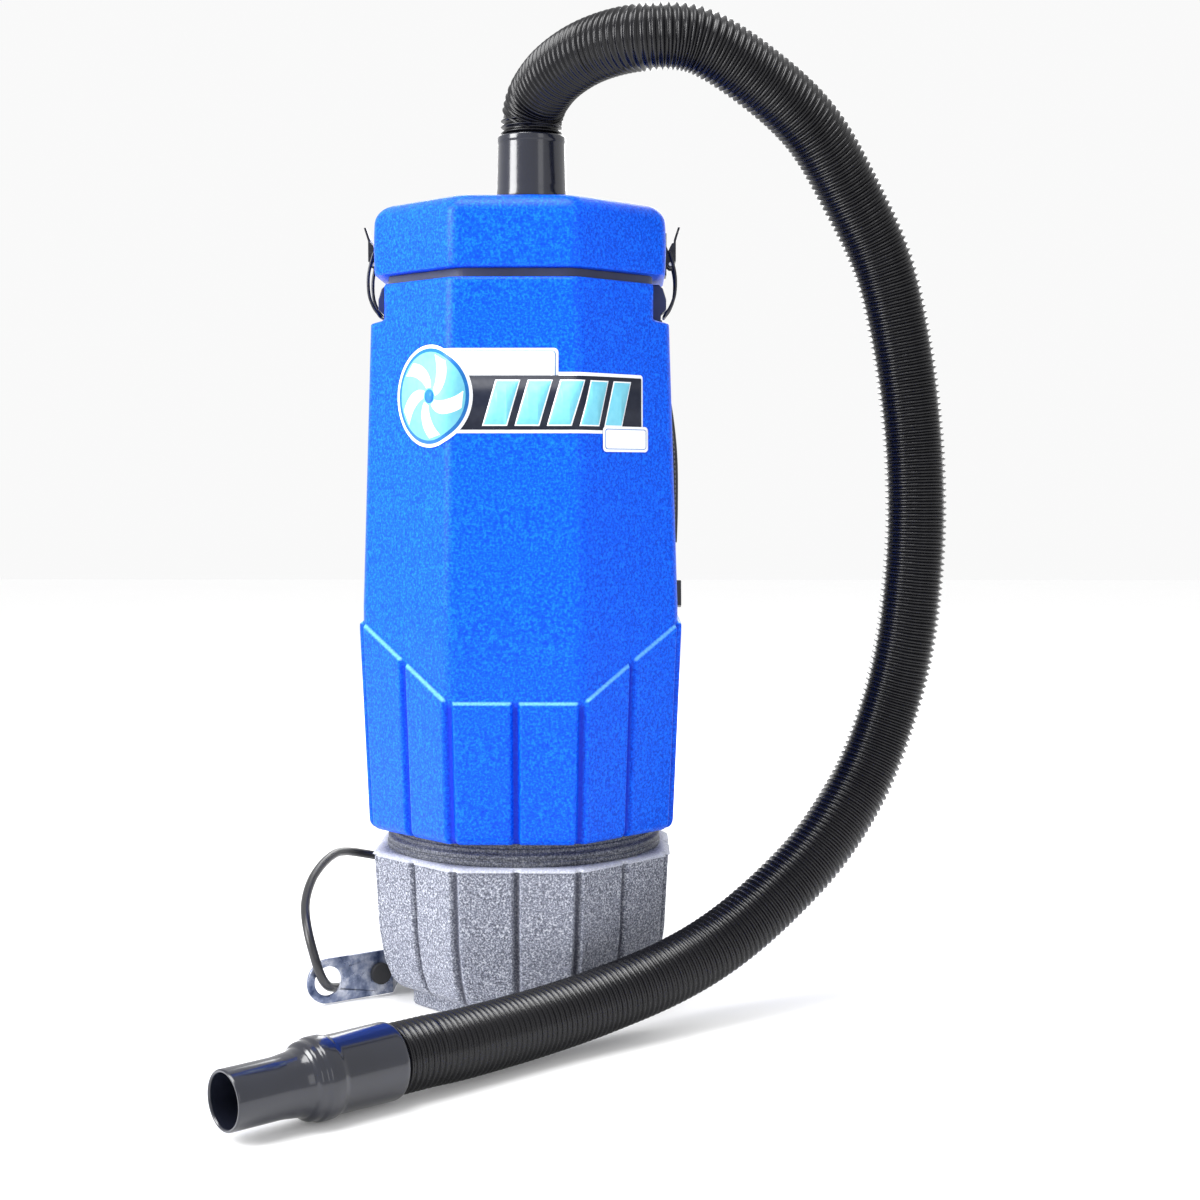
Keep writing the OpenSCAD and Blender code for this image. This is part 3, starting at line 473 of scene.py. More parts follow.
GLAND_TIP = np.array([-135.5, 135.5, 0]) * math.sqrt(0.5) + np.array([0, 0, 80])
GLAND_OUT = np.array([-1, 1, 0]) * math.sqrt(0.5)
CORD_ROUTE = [[-106, 105.2, 80.3], [-113, 108.6, 81.2], [-121, 110, 82.4], [-129.5, 108.8, 84.3],
              [-137.5, 105, 86.5], [-144.5, 98.5, 89], [-150, 89, 91.3], [-155, 74, 93], [-159.5, 55, 91.8],
              [-163, 36, 88.5], [-165.3, 17, 84], [-166, -2, 77.8], [-165, -18.5, 71], [-162, -33, 63],
              [-158, -43.2, 52.5], [-153.8, -48, 40.5], [-150.5, -47.2, 28.5], [-147.8, -41.5, 19.2],
              [-145.4, -32.5, 12.8], [-142.6, -21, 9], [-138.5, -9, 6.4], [-132, 3, 4.8], [-123, 16.5, 4.1],
              [-112, 31, 4], [-102, 46, 4], [-94, 62, 4], [-89, 80, 4], [-86, 100, 4], [-84, 120, 4],
              [-80, 138, 4.6], [-72.5, 153, 8], [-60, 164.5, 13], [-47, 171.5, 16], [-33, 173.5, 16]]
CORD_RADIUS = 3.5 * MM


def make_cord():
    """Round pigtail from the strain relief, through the strain plate's hole, to its plug."""
    route = [GLAND_TIP, GLAND_TIP + 7 * GLAND_OUT] + [np.array(p, float) for p in CORD_ROUTE]
    path = led(np.array(route) * MM, 12)
    total = np.linalg.norm(np.diff(path, axis=0), axis=1).sum()
    path, _ = resample(path, 3 * MM)
    turns = 20
    verts = round_skin(path, CORD_RADIUS, (0.2, 0.2, 1), turns)
    cord = add_piece("power_cord_jacket", verts, capped(len(path), turns), CORD, "root",
                     ["power_cord"])
    return cord, path, total


def make_gland():
    """Ribbed, tapered strain relief."""
    ribs = []
    start, end, count = 4.0, 27.0, 7
    for i in range(count):
        z0 = start + (end - start) * i / count
        z1 = start + (end - start) * (i + 0.62) / count
        r = 7 - 2.4 * i / count
        ribs += [(r - 1.1, z0), (r, z0 + 0.3), (r - 0.15, z1), (r - 1.25, z1 + 0.2)]
    profile = [(0.4, -10), (7, -10), (7, 0.2), (9.5, 0.2), (9.5, 3), (7.4, 3.6)] + ribs + [(4.4, 30), (0.4, 30)]
    verts, faces = lathe([(r * MM, z * MM) for r, z in rounded(profile, 0.5, 2)], 40)
    origin = (105.5 * GLAND_OUT + np.array([0, 0, 80])) * MM
    return add_piece("strain_relief", align(verts, origin, GLAND_OUT), faces, RUBBER, "root",
                     ["cord_gland"], 35)


def make_plug(end, along):
    """Moulded plug with a ribbed neck and a grip waist."""
    profile = [(0.4, 0), (5, 0), (5.4, 3), (4.6, 4), (5.8, 7), (5, 8), (6.6, 11), (6, 12), (9, 15.5), (15, 19),
               (16, 21), (16, 26), (14.6, 30), (14.4, 38), (15.4, 43), (15.9, 45), (15.9, 48), (15, 49), (0.4, 49)]
    verts, faces = lathe([(r * MM, z * MM) for r, z in rounded(profile, 0.8, 3)], 56)
    return add_piece("plug_moulded", align(verts, end, along), faces, RUBBER, "root",
                     ["power_plug"], 40)


cord, cord_path, cord_length = make_cord()
make_gland()
plug = make_plug(cord_path[-1], cord_path[-1] - cord_path[-2])

# ---------- moulded octagonal shells ----------

CORNER_R = 14.0
MARKS = [0, 1.3, 2.1, 2.7, 3.4, 4.2, 5.4, 8, 13, 19, 25, 30, 34]
ARC_STEPS = 16
EIGHTH = math.tan(math.radians(22.5))


def columns():
    """Where each facet's columns stand: (facet, millimetres from its middle, or None, arc angle in degrees)."""
    out = []
    for k in range(8):
        out += [(k, s, None) for s in [-m for m in MARKS[:0:-1]] + MARKS]
        out += [(k, None, 45 * j / ARC_STEPS) for j in range(ARC_STEPS + 1)]
    return out


COLUMNS = columns()


def shell_ring(half, z, radius=CORNER_R, centre_x=0.0, relief=None, clamp=None, follow=None):
    """One ring of a shell in millimetres, as x, y, z and painted light (painted highlight above 0, painted shade below
    0).
    relief(facet, s, z, corner) gives how far a point stands out along the normal and its painted light, and clamp
    (limit, weight) flattens the sides at x = limit. follow(facet, s, corner) gives a height for each column, for a ring
    that isn't level, and its half width."""
    flat = (half - radius) * EIGHTH
    corner = (half - radius) / math.cos(math.radians(22.5))
    reach = flat + radius * math.radians(22.5)
    ring = []
    for k, mark, arc in COLUMNS:
        if mark is not None:
            s = mark * min(1, flat / (MARKS[-1] + 1.5)) if flat < MARKS[-1] + 1.5 else mark
            a = math.radians(45 * k)
            x, y = half * math.cos(a) - s * math.sin(a), half * math.sin(a) + s * math.cos(a)
            facet = k
        else:
            a, mid = math.radians(45 * k + arc), math.radians(45 * k + 22.5)
            x = corner * math.cos(mid) + radius * math.cos(a)
            y = corner * math.sin(mid) + radius * math.sin(a)
            facet = k if arc < 22.5 else (k + 1) % 8
            s = flat + radius * math.radians(arc) if arc < 22.5 else -(flat + radius * math.radians(45 - arc))
        if follow:
            z, half_there = follow(facet, s, reach)
            x, y = x * half_there / half, y * half_there / half
        push, painted_light = relief(facet, s, z, reach) if relief else (0, 0)
        x, y = x + push * math.cos(a) + centre_x, y + push * math.sin(a)
        if clamp and abs(x) > clamp[0]:
            x += (math.copysign(clamp[0], x) - x) * clamp[1]
        ring.append((x * MM, y * MM, z * MM, painted_light))
    return ring


def smooth_step(a, b, x):
    t = min(1, max(0, (x - a) / (b - a)))
    return t * t * (3 - 2 * t)


def between(levels, z):
    return float(np.interp(z, [level[0] for level in levels], [level[1] for level in levels]))


def panel_top(facet, s, reach, low, high):
    """Height of the raised panels' tops: level at the front and back, sloping up on the 45 degree facets."""
    if facet in (2, 6):
        return low
    if facet in (0, 4):
        return high
    toward_side = s if facet in (7, 3) else -s
    return low + (high - low) * (toward_side + reach) / (2 * reach)


def panels(facet, s, z, reach, top, height, groove, half_width):
    """Height and painted light of two raised panels on each facet, with grooves at its middle and at its corners: a
    painted highlight on the panels' top bevels and painted shade in the grooves.
    """
    apart = min(abs(s), reach - abs(s))
    flank = smooth_step(half_width, half_width + 2.4, apart)
    head = smooth_step(0, 3.2, top - z)
    deep = (1 - smooth_step(half_width - 0.6, half_width + 1.6, apart)) * smooth_step(-1, 7, top - z)
    # Painted highlight along each panel's top bevel; the minus deep below gives painted shade down the grooves.
    painted_highlight = flank * 4 * head * (1 - head)
    return height * flank * head - groove * deep, painted_highlight - deep


tank_low, tank_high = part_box("tank")
lid_low, lid_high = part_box("lid")
base_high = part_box("base")[1]
TANK_HALF = tank_high.x / MM
TANK_TOP, TANK_BOTTOM = tank_high.z / MM, tank_low.z / MM
LID_BOTTOM, LID_HALF = lid_low.z / MM, lid_high.x / MM
BASE_TOP, BASE_HALF = base_high.z / MM, base_high.y / MM
WALL = 3.5
TANK_LEVELS = [(TANK_BOTTOM, TANK_HALF - 6), (283, TANK_HALF), (300, TANK_HALF), (TANK_TOP, TANK_HALF - 7.5)]
NOTCH_X, NOTCH_Z = 97.0, TANK_TOP - 26
MOUTH = 88.5


def tank_relief(facet, s, z, reach):
    top = panel_top(facet, s, reach, 238, 290)
    return panels(facet, s, z, reach, top, 2.9, 0.7, 1.7)


def tank_half_at(z):
    return between(TANK_LEVELS, z)


def tank_ring(z, inset=0.0, relief=tank_relief):
    weight = smooth_step(NOTCH_Z - 2.2, NOTCH_Z + 1.4, z)
    return shell_ring(tank_half_at(z) - inset, z, CORNER_R, 0, relief, (NOTCH_X - inset * 0.4, weight))


def make_shell(name, rings, material, body, replaces, loop=True, sharp=38):
    """A solid from rings of a shell, joined into a loop of rings or closed at both ends."""
    cols = len(COLUMNS)
    verts = [p[:3] for ring in rings for p in ring]
    faces = loft_faces(len(rings), cols, loop=True) if loop else capped(len(rings), cols)
    piece = add_piece(name, verts, faces, material, body, replaces)
    # A per-point attribute of painted light: above nothing a painted highlight on crests, below nothing painted shade
    # in grooves.
    painted_light_mask = piece.data.attributes.new("painted_light", "FLOAT", "POINT")
    painted_light_mask.data.foreach_set("value", [p[3] for ring in rings for p in ring])
    work = bmesh.new()
    work.from_mesh(piece.data)
    bmesh.ops.remove_doubles(work, verts=work.verts, dist=0.00002)
    bmesh.ops.recalc_face_normals(work, faces=work.faces)
    work.to_mesh(piece.data)
    work.free()
    piece.data.shade_smooth()
    piece.data.set_sharp_from_angle(angle=math.radians(sharp))
    return piece


def panel_ring(share, offset):
    """A ring near the panels' tops: a share of the way from z 226 to the top (below 1) or from the top to z 300
    (above 1), and an offset."""
    def follow(facet, s, reach):
        top = panel_top(facet, s, reach, 238, 290)
        z = 226 + (top - 8 - 226) * share if share < 1 else top + 2 + (298 - top - 2) * (share - 1)
        z = top + offset if offset is not None else z
        return z, tank_half_at(z)
    return shell_ring(TANK_HALF, 260, CORNER_R, 0, tank_relief, None, follow)


PANEL_ROWS = [(share, None) for share in (0.2, 0.4, 0.6, 0.8)]
PANEL_ROWS += [(1, offset) for offset in (-8, -6, -4.4, -3.5, -2.9, -2.4, -1.9, -1.4, -0.9, -0.4, 0.1, 1)]
PANEL_ROWS += [(share, None) for share in (1.0, 1.33, 1.66)]


def make_tank():
    """Rotomoulded tank: raised panels low down, latch notches at the sides, open mouth and an intake hole."""
    heel = 7.0
    rings = []
    for t in np.linspace(0, 1, 6):
        z = TANK_BOTTOM + heel * (1 - math.cos(t * math.pi / 2))
        rings.append(tank_ring(z, heel * (1 - math.sin(t * math.pi / 2)) * 0.8))
    rings += [tank_ring(z) for z in np.arange(TANK_BOTTOM + heel + 5, 226, 8)]
    for share, offset in PANEL_ROWS:
        rings.append(panel_ring(share, offset))
    heights = [300] + list(np.arange(308, NOTCH_Z - 6, 9.5))
    heights += [NOTCH_Z + d for d in (-5, -3.4, -2.4, -1.7, -1.1, -0.6, -0.1, 0.4, 0.9, 1.5, 2.4, 5, 9, 13, 17, 20)]
    rings += [tank_ring(z) for z in heights]
    lip = 3.0
    for t in np.linspace(0, 1, 6):
        z = TANK_TOP - lip * (1 - math.sin(t * math.pi / 2))
        rings.append(tank_ring(z, lip * (1 - math.cos(t * math.pi / 2)), None))
    rings.append(shell_ring(MOUTH, TANK_TOP, 11))
    rings.append(shell_ring(MOUTH, TANK_TOP - 2 * WALL, 11))
    inner = [(TANK_TOP - 2 * WALL, 93), (NOTCH_Z - WALL, 93), (NOTCH_Z - WALL - 1, 105), (300, 112), (283, 112),
             (TANK_BOTTOM + WALL, TANK_HALF - 6 - WALL)]
    rings += [shell_ring(half, z, 10) for z, half in inner]
    rings += [shell_ring(40, z, 40) for z in (TANK_BOTTOM + WALL, TANK_BOTTOM)]
    return make_shell("tank_moulded", rings, BLUE, "root", ["tank"])


def make_lid():
    """Domed lid with a rolled top edge, open at the inlet."""
    rings = [shell_ring(LID_HALF - 2.2, LID_BOTTOM), shell_ring(LID_HALF - 0.9, LID_BOTTOM + 0.3),
             shell_ring(LID_HALF - 0.2, LID_BOTTOM + 1.2), shell_ring(LID_HALF, LID_BOTTOM + 2.6)]
    rings += [shell_ring(LID_HALF + 0.5 * math.sin(math.pi * t), LID_BOTTOM + 2.6 + 34 * t)
              for t in np.linspace(0.1, 1, 9)]
    for t in np.linspace(0.08, 1, 10):
        a = t * math.pi / 2
        rings.append(shell_ring(LID_HALF - 15 * (1 - math.cos(a)), LID_BOTTOM + 36.6 + 14.4 * math.sin(a),
                                CORNER_R + 2 * t))
    rings += [shell_ring(half, z, r, x) for half, z, r, x in
              ((84, 593, 20, 1), (70, 594.5, 26, 3), (54, 596, 34, 5), (40, 597, 38, 7), (34, 597, 34, 7),
               (20.1, 597, 20.1, 7), (20.1, 593.4, 20.1, 7), (40, 593.4, 38, 7), (88, 588, 12, 0),
               (101.5, 578, 11, 0),
               (102.5, 544.5, 11, 0), (92, 544.5, 11, 0), (92, LID_BOTTOM, 11, 0))]
    return make_shell("lid_moulded", rings, BLUE, "lid", ["lid"])


FOOT_H, FOOT_HALF = 14.0, 82.0
BASE_LEVELS = [(FOOT_H, BASE_HALF - 15), (35, BASE_HALF - 7), (60, BASE_HALF - 3), (BASE_TOP, BASE_HALF)]


def base_relief(facet, s, z, reach):
    rise = smooth_step(FOOT_H, FOOT_H + 8, z)
    return panels(facet, s, z, reach, BASE_TOP + 0.6, 2.4 * rise, 0.9 * rise, 1.2)


def cut(piece, cutters):
    """Takes boxes out of a piece: each is (centre, size, turn about Z in degrees), in millimetres."""
    work = bmesh.new()
    for centre, size, turn in cutters:
        made = bmesh.ops.create_cube(work, size=1.0)["verts"]
        bmesh.ops.scale(work, vec=[v * MM for v in size], verts=made)
        bmesh.ops.translate(work, vec=[v * MM for v in centre], verts=made)
        bmesh.ops.rotate(work, cent=(0, 0, 0), matrix=Matrix.Rotation(math.radians(turn), 3, "Z"),
                         verts=made)
    mesh = bpy.data.meshes.new("cutter")
    work.to_mesh(mesh)
    work.free()
    tool = bpy.data.objects.new("cutter", mesh)
    bpy.context.collection.objects.link(tool)
    modifier = piece.modifiers.new("cut", "BOOLEAN")
    modifier.operation, modifier.solver, modifier.object = "DIFFERENCE", "EXACT", tool
    bpy.context.view_layer.objects.active = piece
    bpy.context.view_layer.update()
    with bpy.context.temp_override(object=piece, active_object=piece, selected_objects=[piece]):
        bpy.ops.object.modifier_apply(modifier="cut")
    bpy.data.objects.remove(tool)
    piece.data.shade_smooth()
    piece.data.set_sharp_from_angle(angle=math.radians(38))


def make_base():
    """Speckled motor base: raised panels down to a recessed foot, with air slots underneath and a switch opening."""
    rings = [shell_ring(half, z, r) for half, z, r in ((1, 0, 1), (60, 0, 14), (FOOT_HALF - 2, 0, 14),
             (FOOT_HALF - 0.6, 0.6, 14), (FOOT_HALF, 2, 14), (FOOT_HALF, FOOT_H - 1.5, 14),
             (FOOT_HALF + 1, FOOT_H, 14))]
    heel = 5.0
    for t in np.linspace(0, 1, 6):
        a = t * math.pi / 2
        z = FOOT_H + heel * (1 - math.cos(a))
        rings.append(shell_ring(between(BASE_LEVELS, z) - heel * (1 - math.sin(a)), z, CORNER_R, 0, base_relief))
    rings += [shell_ring(between(BASE_LEVELS, z), z, CORNER_R, 0, base_relief)
              for z in list(np.arange(22, BASE_TOP - 5, 4.0)) + [BASE_TOP - 4, BASE_TOP - 3]]
    lip = 2.4
    # The rolled lip's rings take a painted light value of 0.8: a painted highlight along the base's top edge.
    for t in np.linspace(0, 1, 7):
        a = t * math.pi / 2
        z = BASE_TOP - lip * (1 - math.sin(a))
        rings.append(shell_ring(BASE_HALF + 1.2 * (1 - t) - lip * (1 - math.cos(a)), z, CORNER_R, 0,
                     lambda f, s, h, reach, t=t: (base_relief(f, s, BASE_TOP - 4, reach)[0] * (1 - t), 0.8)))
    rings += [shell_ring(half, z, r) for half, z, r in (
              (101, BASE_TOP, 60), (80, BASE_TOP, 80), (80, BASE_TOP - WALL, 80),
              (BASE_HALF - WALL, BASE_TOP - WALL, 12), (BASE_HALF - 3 - WALL, 60, 12), (BASE_HALF - 7 - WALL, 35, 12),
              (FOOT_HALF - WALL + 4, FOOT_H + WALL, 12), (FOOT_HALF - WALL, WALL, 12), (1, WALL, 1))]
    base = make_shell("base_moulded", rings, GREY, "root", ["base"], loop=False)
    slots = [((FOOT_HALF - 15, x, 1), (14, 4, 12), a) for a in range(0, 360, 45) for x in (-12, 0, 12)]
    cut(base, slots + [((102, 0, 88), (30, 27.9, 17.9), 45)])
    return base


def make_lathe(name, profile, material, body, node, centre_x=0.0, corner=1.0, turns=96, sharp=45):
    verts, faces = lathe([(r * MM, z * MM) for r, z in rounded(profile, corner, 3)], turns)
    verts[:, 0] += centre_x * MM
    return add_piece(name, verts, faces, material, body, [node] if node else (), sharp)


make_tank()
make_lid()
make_base()
# The seal ring takes the darkened grey: painted shade for the shadow under the tank.
make_lathe("seal_ring_moulded", [(80, 118), (103.5, 118), (103.5, 121.4), (102.2, 122), (102.2, 123), (103, 123.6),
           (103, 126), (99.6, 127.5), (99.6, 130), (98.4, 130.6), (98.4, 132), (99.4, 132.6), (99.4, 135), (80, 135)],
           GREY_SHADED, "root", "seal_ring", 0, 0.9, 128)
CUFF_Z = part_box("inlet_cuff")[0].z / MM
make_lathe("swivel_cuff", [(20.1, CUFF_Z), (26.3, CUFF_Z), (26.5, CUFF_Z + 3), (25.9, CUFF_Z + 9), (25.5, CUFF_Z + 24),
           (25.1, CUFF_Z + 41), (25.5, CUFF_Z + 42.5), (25.5, CUFF_Z + 45.8), (24.6, CUFF_Z + 46.7),
           (19.6, CUFF_Z + 46.7), (19.6, CUFF_Z + 22.6), (20.1, CUFF_Z + 22)],
           GLOSS, "inlet_cuff", "inlet_cuff", 7, 0.9)

# ---------- label ----------

def on_tank(t, z, lift):
    """Point on the tank's skin, t millimetres along it from the front's middle, z up, lifted off by lift."""
    half = tank_half_at(z)
    flat, arc = (half - CORNER_R) * EIGHTH, CORNER_R * math.radians(45)
    sign, t = (1, t) if t >= 0 else (-1, -t)
    if t <= flat:
        x, y, a = t, half, 0.0
    elif t <= flat + arc:
        a = (t - flat) / CORNER_R
        x, y = flat + CORNER_R * math.sin(a), half - CORNER_R + CORNER_R * math.cos(a)
    else:
        a = math.radians(45)
        over = t - flat - arc
        x = flat + CORNER_R * math.sin(a) + over * math.cos(a)
        y = half - CORNER_R + CORNER_R * math.cos(a) - over * math.sin(a)
    x, y = x + lift * math.sin(a), y + lift * math.cos(a)
    return (sign * x * MM, -y * MM, z * MM)


def sticker(name, outline, material, lift, step=2.0, thick=0.25):
    """A thin printed patch on the tank with a given outline of (t, z) points."""
    work = bmesh.new()
    corners = [work.verts.new((t, z, 0)) for t, z in outline]
    work.faces.new(corners)
    low, high = min(t for t, _ in outline), max(t for t, _ in outline)
    for t in np.arange(math.ceil(low / step) * step, high, step):
        bmesh.ops.bisect_plane(work, geom=work.verts[:] + work.edges[:] + work.faces[:], plane_co=(t, 0, 0),
                               plane_no=(1, 0, 0))
    flat_places = [(v.co.x, v.co.y) for v in work.verts]
    for v, (t, z) in zip(work.verts, flat_places):
        v.co = Vector(on_tank(t, z, lift))
    work.verts.ensure_lookup_table()
    mesh = bpy.data.meshes.new(name)
    work.to_mesh(mesh)
    work.free()
    attribute = mesh.attributes.new("print", "FLOAT_VECTOR", "POINT")
    attribute.data.foreach_set("vector", [c for t, z in flat_places for c in (t, z, 0.0)])
    mesh.materials.append(material)
    piece = bpy.data.objects.new(name, mesh)
    bpy.context.collection.objects.link(piece)
    solid = piece.modifiers.new("sheet", "SOLIDIFY")
    solid.thickness, solid.offset = thick * MM, 1
    mesh.shade_smooth()
    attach(piece, "root")
    return piece


def box_outline(t0, t1, z0, z1, r=2.0, steps=5):
    out = []
    for cx, cz, start in ((t1 - r, z1 - r, 0), (t0 + r, z1 - r, 90), (t0 + r, z0 + r, 180), (t1 - r, z0 + r, 270)):
        turns = [math.radians(start + 90 * k / steps) for k in range(steps + 1)]
        out += [(cx + r * math.cos(a), cz + r * math.sin(a)) for a in turns]
    return out


def disc_outline(t, z, r, steps=72):
    return [(t + r * math.cos(a), z + r * math.sin(a)) for a in (2 * math.pi * k / steps for k in range(steps))]


def printed(name, colour, second, scale=260):
    """Satin printed film in one ink, with slight mottling."""
    s = Shader(name, 0.32, Specular_IOR_Level=0.2)
    s.colour(s.mix(s.noise(scale, 3), colour, second))
    s.roughness(s.math("ADD", s.math("MULTIPLY", s.noise(500, 2), 0.16), 0.24))
    s.bump(s.noise(700, 2), 0.06, 0.2)
    return s.material


INK_WHITE = printed("print_white", (0.78, 0.82, 0.90), (0.95, 0.96, 0.98))
INK_BLACK = printed("print_black", (0.004, 0.006, 0.016), (0.016, 0.020, 0.036))
INK_CYAN = printed("print_cyan", (0.13, 0.50, 0.66), (0.22, 0.62, 0.76))
INK_BLUE = printed("print_blue", (0.010, 0.12, 0.42), (0.02, 0.20, 0.55))
BADGE = (-65.0, 451.5, 36.0)


def swoosh(t, z, r0, r1, a0, a1, steps=14):
    """Outline of a curved fan blade between two radii, widening and turning as it goes out."""
    lead = [(t + r * math.cos(a), z + r * math.sin(a)) for r, a in
            ((r0 + (r1 - r0) * u, math.radians(a0 + 55 * u)) for u in np.linspace(0, 1, steps))]
    trail = [(t + r * math.cos(a), z + r * math.sin(a)) for r, a in
             ((r0 + (r1 - r0) * u, math.radians(a1 + 30 * u)) for u in np.linspace(1, 0, steps))]
    return lead + trail


def make_label():
    """Generic label: a fan badge and a banner with slanted bars, with no lettering."""
    t, z, r = BADGE
    pieces = [sticker("label_banner_edge", box_outline(-48, 106.5, 425.3, 467.6, 2.4), INK_WHITE, 0.12),
              sticker("label_tab_edge", box_outline(-54, 30.5, 458, 484.2, 3), INK_WHITE, 0.16),
              sticker("label_tab_line", box_outline(-50, 28.6, 462, 482.6, 2.4), INK_BLUE, 0.32),
              sticker("label_tab", box_outline(-50, 28.0, 462, 482.0, 2), INK_WHITE, 0.48),
              sticker("label_banner", box_outline(-47, 104.6, 427.6, 465.2, 1), INK_BLACK, 0.62),
              sticker("label_small_edge", box_outline(66, 111, 412.6, 430.6, 3), INK_WHITE, 0.9),
              sticker("label_small_line", box_outline(68, 109, 414.4, 428.8, 2.2), INK_BLUE, 1.06),
              sticker("label_small", box_outline(68.5, 108.5, 414.9, 428.3, 2), INK_WHITE, 1.2),
              sticker("badge_edge", disc_outline(t, z, r), INK_WHITE, 0.78),
              sticker("badge_line", disc_outline(t, z, r - 2.4), INK_BLUE, 0.94),
              sticker("badge_field", disc_outline(t, z, r - 5.0), INK_CYAN, 1.1)]
    for k in range(5):
        pieces.append(sticker(f"badge_blade_{k}", swoosh(t, z, 6.5, r - 6.4, 72 * k, 72 * k + 48), INK_WHITE, 1.26))
    pieces.append(sticker("badge_hub", disc_outline(t, z, 5, 32), INK_BLUE, 1.42))
    slant, width, gap = 9.0, 15.5, 7.0
    for k in range(5):
        t0 = -21.5 + k * (width + gap)
        bar = [(t0, 431.2), (t0 + width, 431.2), (t0 + width + slant, 461.4), (t0 + slant, 461.4)]
        edge = [(t0 - 1.1, 430.3), (t0 + width + 0.8, 430.3), (t0 + width + slant + 1.1, 462.3),
                (t0 + slant - 0.8, 462.3)]
        pieces.append(sticker(f"label_bar_edge_{k}", edge, INK_WHITE, 0.78))
        pieces.append(sticker(f"label_bar_{k}", bar, INK_CYAN, 0.94))
    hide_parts("label")


make_label()

# ---------- hardware ----------

def dress(node, material, bevel=0.5, sharp=30):
    """Gives a carried CAD node its material and softened edges."""
    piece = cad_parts[node]
    piece.data.materials.clear()
    piece.data.materials.append(material)
    if bevel:
        weld = piece.modifiers.new("weld", "WELD")
        weld.merge_threshold = 0.00002
        soft = piece.modifiers.new("edges", "BEVEL")
        soft.width, soft.segments, soft.limit_method = bevel * MM, 2, "ANGLE"
        soft.angle_limit, soft.harden_normals = math.radians(sharp), True


def tube(name, path, radius, material, body, replaces=(), side0=(0, 1, 0), turns=12):
    """A round bar along a path. side0 is any direction that isn't the path's first."""
    verts = round_skin(path, radius, side0, turns)
    return add_piece(name, verts, capped(len(path), turns), material, body, replaces, 50)


def make_bail(side):
    """Spring-wire loop from the lever's eye down to the keeper, bowed outward."""
    s = 1 if side == "right" else -1
    legs = [[110.2, 13.5, 560.5], [112.6, 13.5, 552], [114.2, 13.4, 542], [113.6, 13.2, 530], [110.4, 13.0, 521],
            [107.2, 12.4, 516.5], [106.1, 10, 514.6]]
    foot = [[106, 6, 514.5], [106, 0, 514.5], [106, -6, 514.5]]
    loop = [[110.2, 8.5, 560.5]] + [[110.2, 12.2, 560.5]] + legs + foot + [[x, -y, z] for x, y, z in legs[::-1]]
    loop += [[110.2, -12.2, 560.5], [110.2, -8.5, 560.5]]
    path = catmull(np.array(loop, float) * (s, 1, 1) * MM, 6)
    return tube(f"bail_wire_{side}", path, 1.2 * MM, DARK_STEEL, f"bail_{side}", [f"bail_{side}"], (1, 0, 0))


for side_name in ("left", "right"):
    make_bail(side_name)
    dress(f"lever_{side_name}", DARK_STEEL, 0.35)
    dress(f"keeper_{side_name}", NAVY, 1.0)

NODE_LOOKS = {
    "tank_seal": (SEAL, 0.5), "inlet_collar": (BLUE, 1.2), "latch_brackets": (DARK_STEEL, 0.3),
    "latch_pins": (STEEL, 0.3), "filter_bag": (PAPER, 0), "bag_collar": (CARD, 0.4), "cloth_filter": (CLOTH, 0),
    "dome_filter": (CLOTH, 0), "motor_gasket": (RUBBER, 0.5), "fan_case": (ALUMINIUM, 0.4),
    "diffuser": (ALUMINIUM, 0.2), "impeller": (ALUMINIUM, 0.15), "motor_shaft": (STEEL, 0.2),
    "armature": (IRON, 0.2), "commutator": (COPPER, 0.1), "stator": (IRON, 0.3), "motor_frame": (BLACK, 0.4),
    "bearings": (STEEL, 0.3), "carbon_brushes": (CARBON, 0.2), "brush_holders": (BRASS, 0.2),
    "motor_mount": (RUBBER, 0.5), "exhaust_filter": (FOAM, 0.5), "switch_housing": (BLACK, 0.5),
    "switch_rocker": (RED, 0.5), "base_screws": (STEEL, 0.2), "plug_blades": (BRASS, 0.2),
    "strain_plate": (PLATE, 0.7), "plate_bumper": (RUBBER, 0.9), "strain_plate_screws": (STEEL, 0.2),
    "back_plate": (BLACK, 0.8), "harness_screws": (STEEL, 0.2), "strap_adjusters": (BLACK, 0.5),
    "buckle_male": (BLACK, 0.5), "buckle_female": (BLACK, 0.7), "carry_handle": (BLACK, 0.9),
}
for node_name, (look, edge) in NODE_LOOKS.items():
    dress(node_name, look, edge)

# ---------- harness ----------

PAD_MID = 129.6
WAIST_MID = 129.3


def inflate(piece, pinned, pressure=4.0, cap=0.006):
    """Swells a closed pad by cloth simulation, holding its seams and capping how far a point moves."""
    group = piece.vertex_groups.new(name="seams")
    group.add([i for i, held in enumerate(pinned) if held], 1.0, "REPLACE")
    start = np.array([v.co[:] for v in piece.data.vertices])
    cloth = piece.modifiers.new("swell", "CLOTH")
    cloth.settings.use_pressure = True
    cloth.settings.uniform_pressure_force = pressure
    cloth.settings.vertex_group_mass = "seams"
    cloth.settings.effector_weights.gravity = 0
    cloth.settings.quality = 5
    cloth.point_cache.frame_start, cloth.point_cache.frame_end = 1, 20
    for step in range(1, 21):
        bpy.context.scene.frame_set(step)
    shown = piece.evaluated_get(bpy.context.evaluated_depsgraph_get())
    swollen = np.array([v.co[:] for v in shown.data.vertices])
    piece.modifiers.remove(cloth)
    bpy.context.scene.frame_set(1)
    move = swollen - start
    size = np.linalg.norm(move, axis=1)
    size[size == 0] = 1
    move *= np.minimum(1, cap / size)[:, None]
    piece.data.vertices.foreach_set("co", (start + move).ravel())
    piece.data.update()


